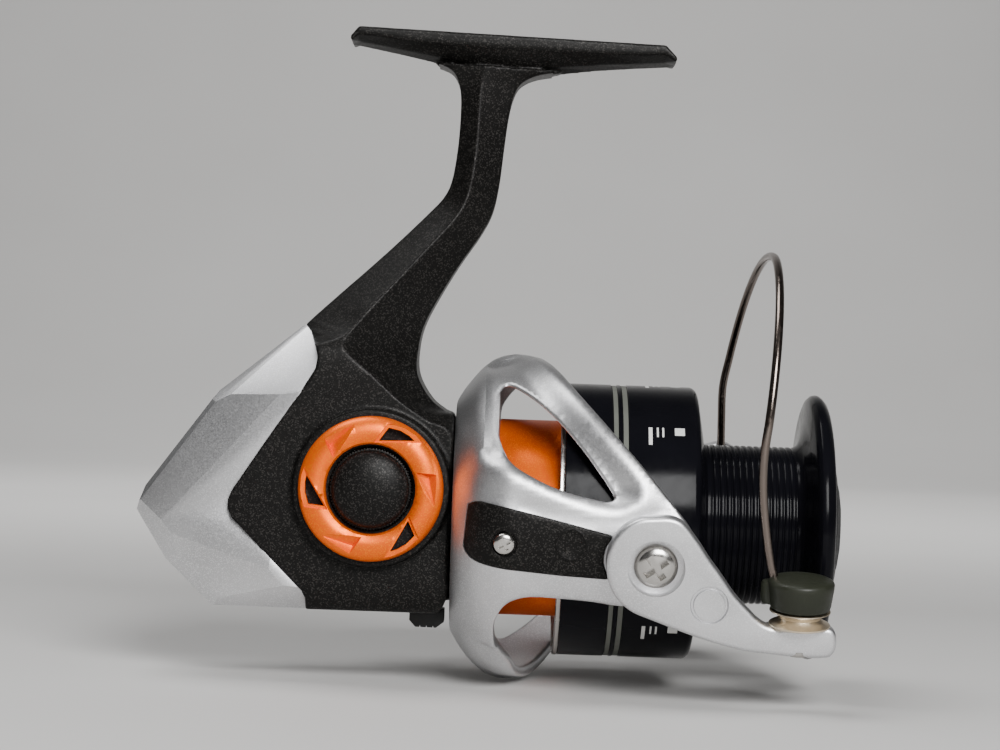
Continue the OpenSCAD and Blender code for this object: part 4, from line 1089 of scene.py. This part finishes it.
def build_drag_knob():
    """The front knob with its upright bar, and the olive ring round it."""
    dome = [(2.06, 73.2), (10.4, 73.2), (10.4, 73.75), (17.9, 73.75), (18.2, 74), (18.2, 75.1), (17.8, 75.9),
            (17, 76.6), (15.6, 77.2), (3.2, 77.5), (3.2, 75.6), (2.06, 75.6)]
    knob = lathe("drag_knob_body", dome, closed=True, n=120)
    bar = lathe("bar", [(3.2, 76.2), (15, 76.2), (14.2, 76.9), (12.4, 77.8), (9.6, 78.6), (6.4, 79.1),
                        (3.2, 79.3)], closed=True)
    for low, high in ((-20, -4.6), (4.6, 20)):
        boolean(bar, prism("side", [(70, low), (90, low), (90, high), (70, high)], -20, 20, axis="Z"))
    soften(bar, 0.5, 3, 40)
    place(join("drag_knob_body", knob, bar), "drag", MATT, "drag_knob")
    ring = lathe("knob_ring_turned", [(18.25, 74.6), (18.8, 74.6), (18.9, 74.75), (18.9, 75.9), (18.7, 76.2),
                                      (18.25, 76.2)], closed=True, n=120)
    place(ring, "drag", OLIVE, "knob_ring", angle=40)


# ---- Stage ----

def aimed_lamp(name, place_m, size, power, target):
    """A square area light, in metres and watts, aimed at a point."""
    data = bpy.data.lights.new(name, "AREA")
    data.shape = "SQUARE"
    data.size = size
    data.energy = power
    lamp = bpy.data.objects.new(name, data)
    lamp.location = place_m
    lamp.rotation_euler = (Vector(target) - Vector(place_m)).to_track_quat("-Z", "Y").to_euler()
    bpy.context.scene.collection.objects.link(lamp)


def stage():
    """Floor with a curved backdrop, camera, world and lights, in metres."""
    scene = bpy.context.scene
    floor_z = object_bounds()[0][2] - 0.0005
    bm = bmesh.new()
    section = [(-3, 0), (1.2, 0)] + [(1.2 + 0.9 * math.sin(a), 0.9 - 0.9 * math.cos(a))
                                     for a in [math.radians(6 * k) for k in range(1, 16)]] + [(2.1, 4)]
    one = [bm.verts.new((-4, y, floor_z + z)) for y, z in section]
    two = [bm.verts.new((4, y, floor_z + z)) for y, z in section]
    for i in range(len(section) - 1):
        bm.faces.new([one[i], two[i], two[i + 1], one[i + 1]])
    floor = mesh_object("floor", bm)
    shade(floor, 60)
    s = Shader("floor_paper", "floor")
    s.colour(s.ramp(s.noise(3, 3), [(0.3, (0.57, 0.562, 0.55)), (0.7, (0.61, 0.602, 0.59))]))
    s.fixed(Roughness=0.7)
    floor.data.materials.append(s.material)
    floor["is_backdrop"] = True

    camera_data = bpy.data.cameras.new("camera")
    camera_data.lens = 90
    camera_data.sensor_width = 36
    camera = bpy.data.objects.new("camera", camera_data)
    scene.collection.objects.link(camera)
    camera.location = (0, -0.577, AXIS_Z * MM + 0.03255)
    level = Matrix.Rotation(math.radians(90), 3, "X")
    camera.rotation_euler = (level @ Matrix.Rotation(math.radians(2.0), 3, "Z")).to_euler()
    scene.camera = camera

    world = bpy.data.worlds.new("studio")
    world.use_nodes = True
    background = world.node_tree.nodes["Background"]
    background.inputs["Color"].default_value = (0.8, 0.8, 0.82, 1)
    background.inputs["Strength"].default_value = 0.06
    scene.world = world
    aimed_lamp("key", (0.24, -0.86, 0.38), 0.45, 15.5, (0, 0, -0.08))
    aimed_lamp("top", (-0.3, 0.05, 0.75), 0.5, 5, (0, 0, -0.08))
    aimed_lamp("wall", (0, 0.7, 0.75), 1.2, 15, (0, 1.9, 0.1))


for build in (build_body, build_rear_cover, build_ring, build_cap, build_side_cover,
              build_anti_reverse_lever, build_handle, build_rotor, build_arm_covers, build_drum,
              build_bail_arm, build_wire, build_roller, build_bail_mount, build_spool, build_drag_knob,
              stage):
    build()
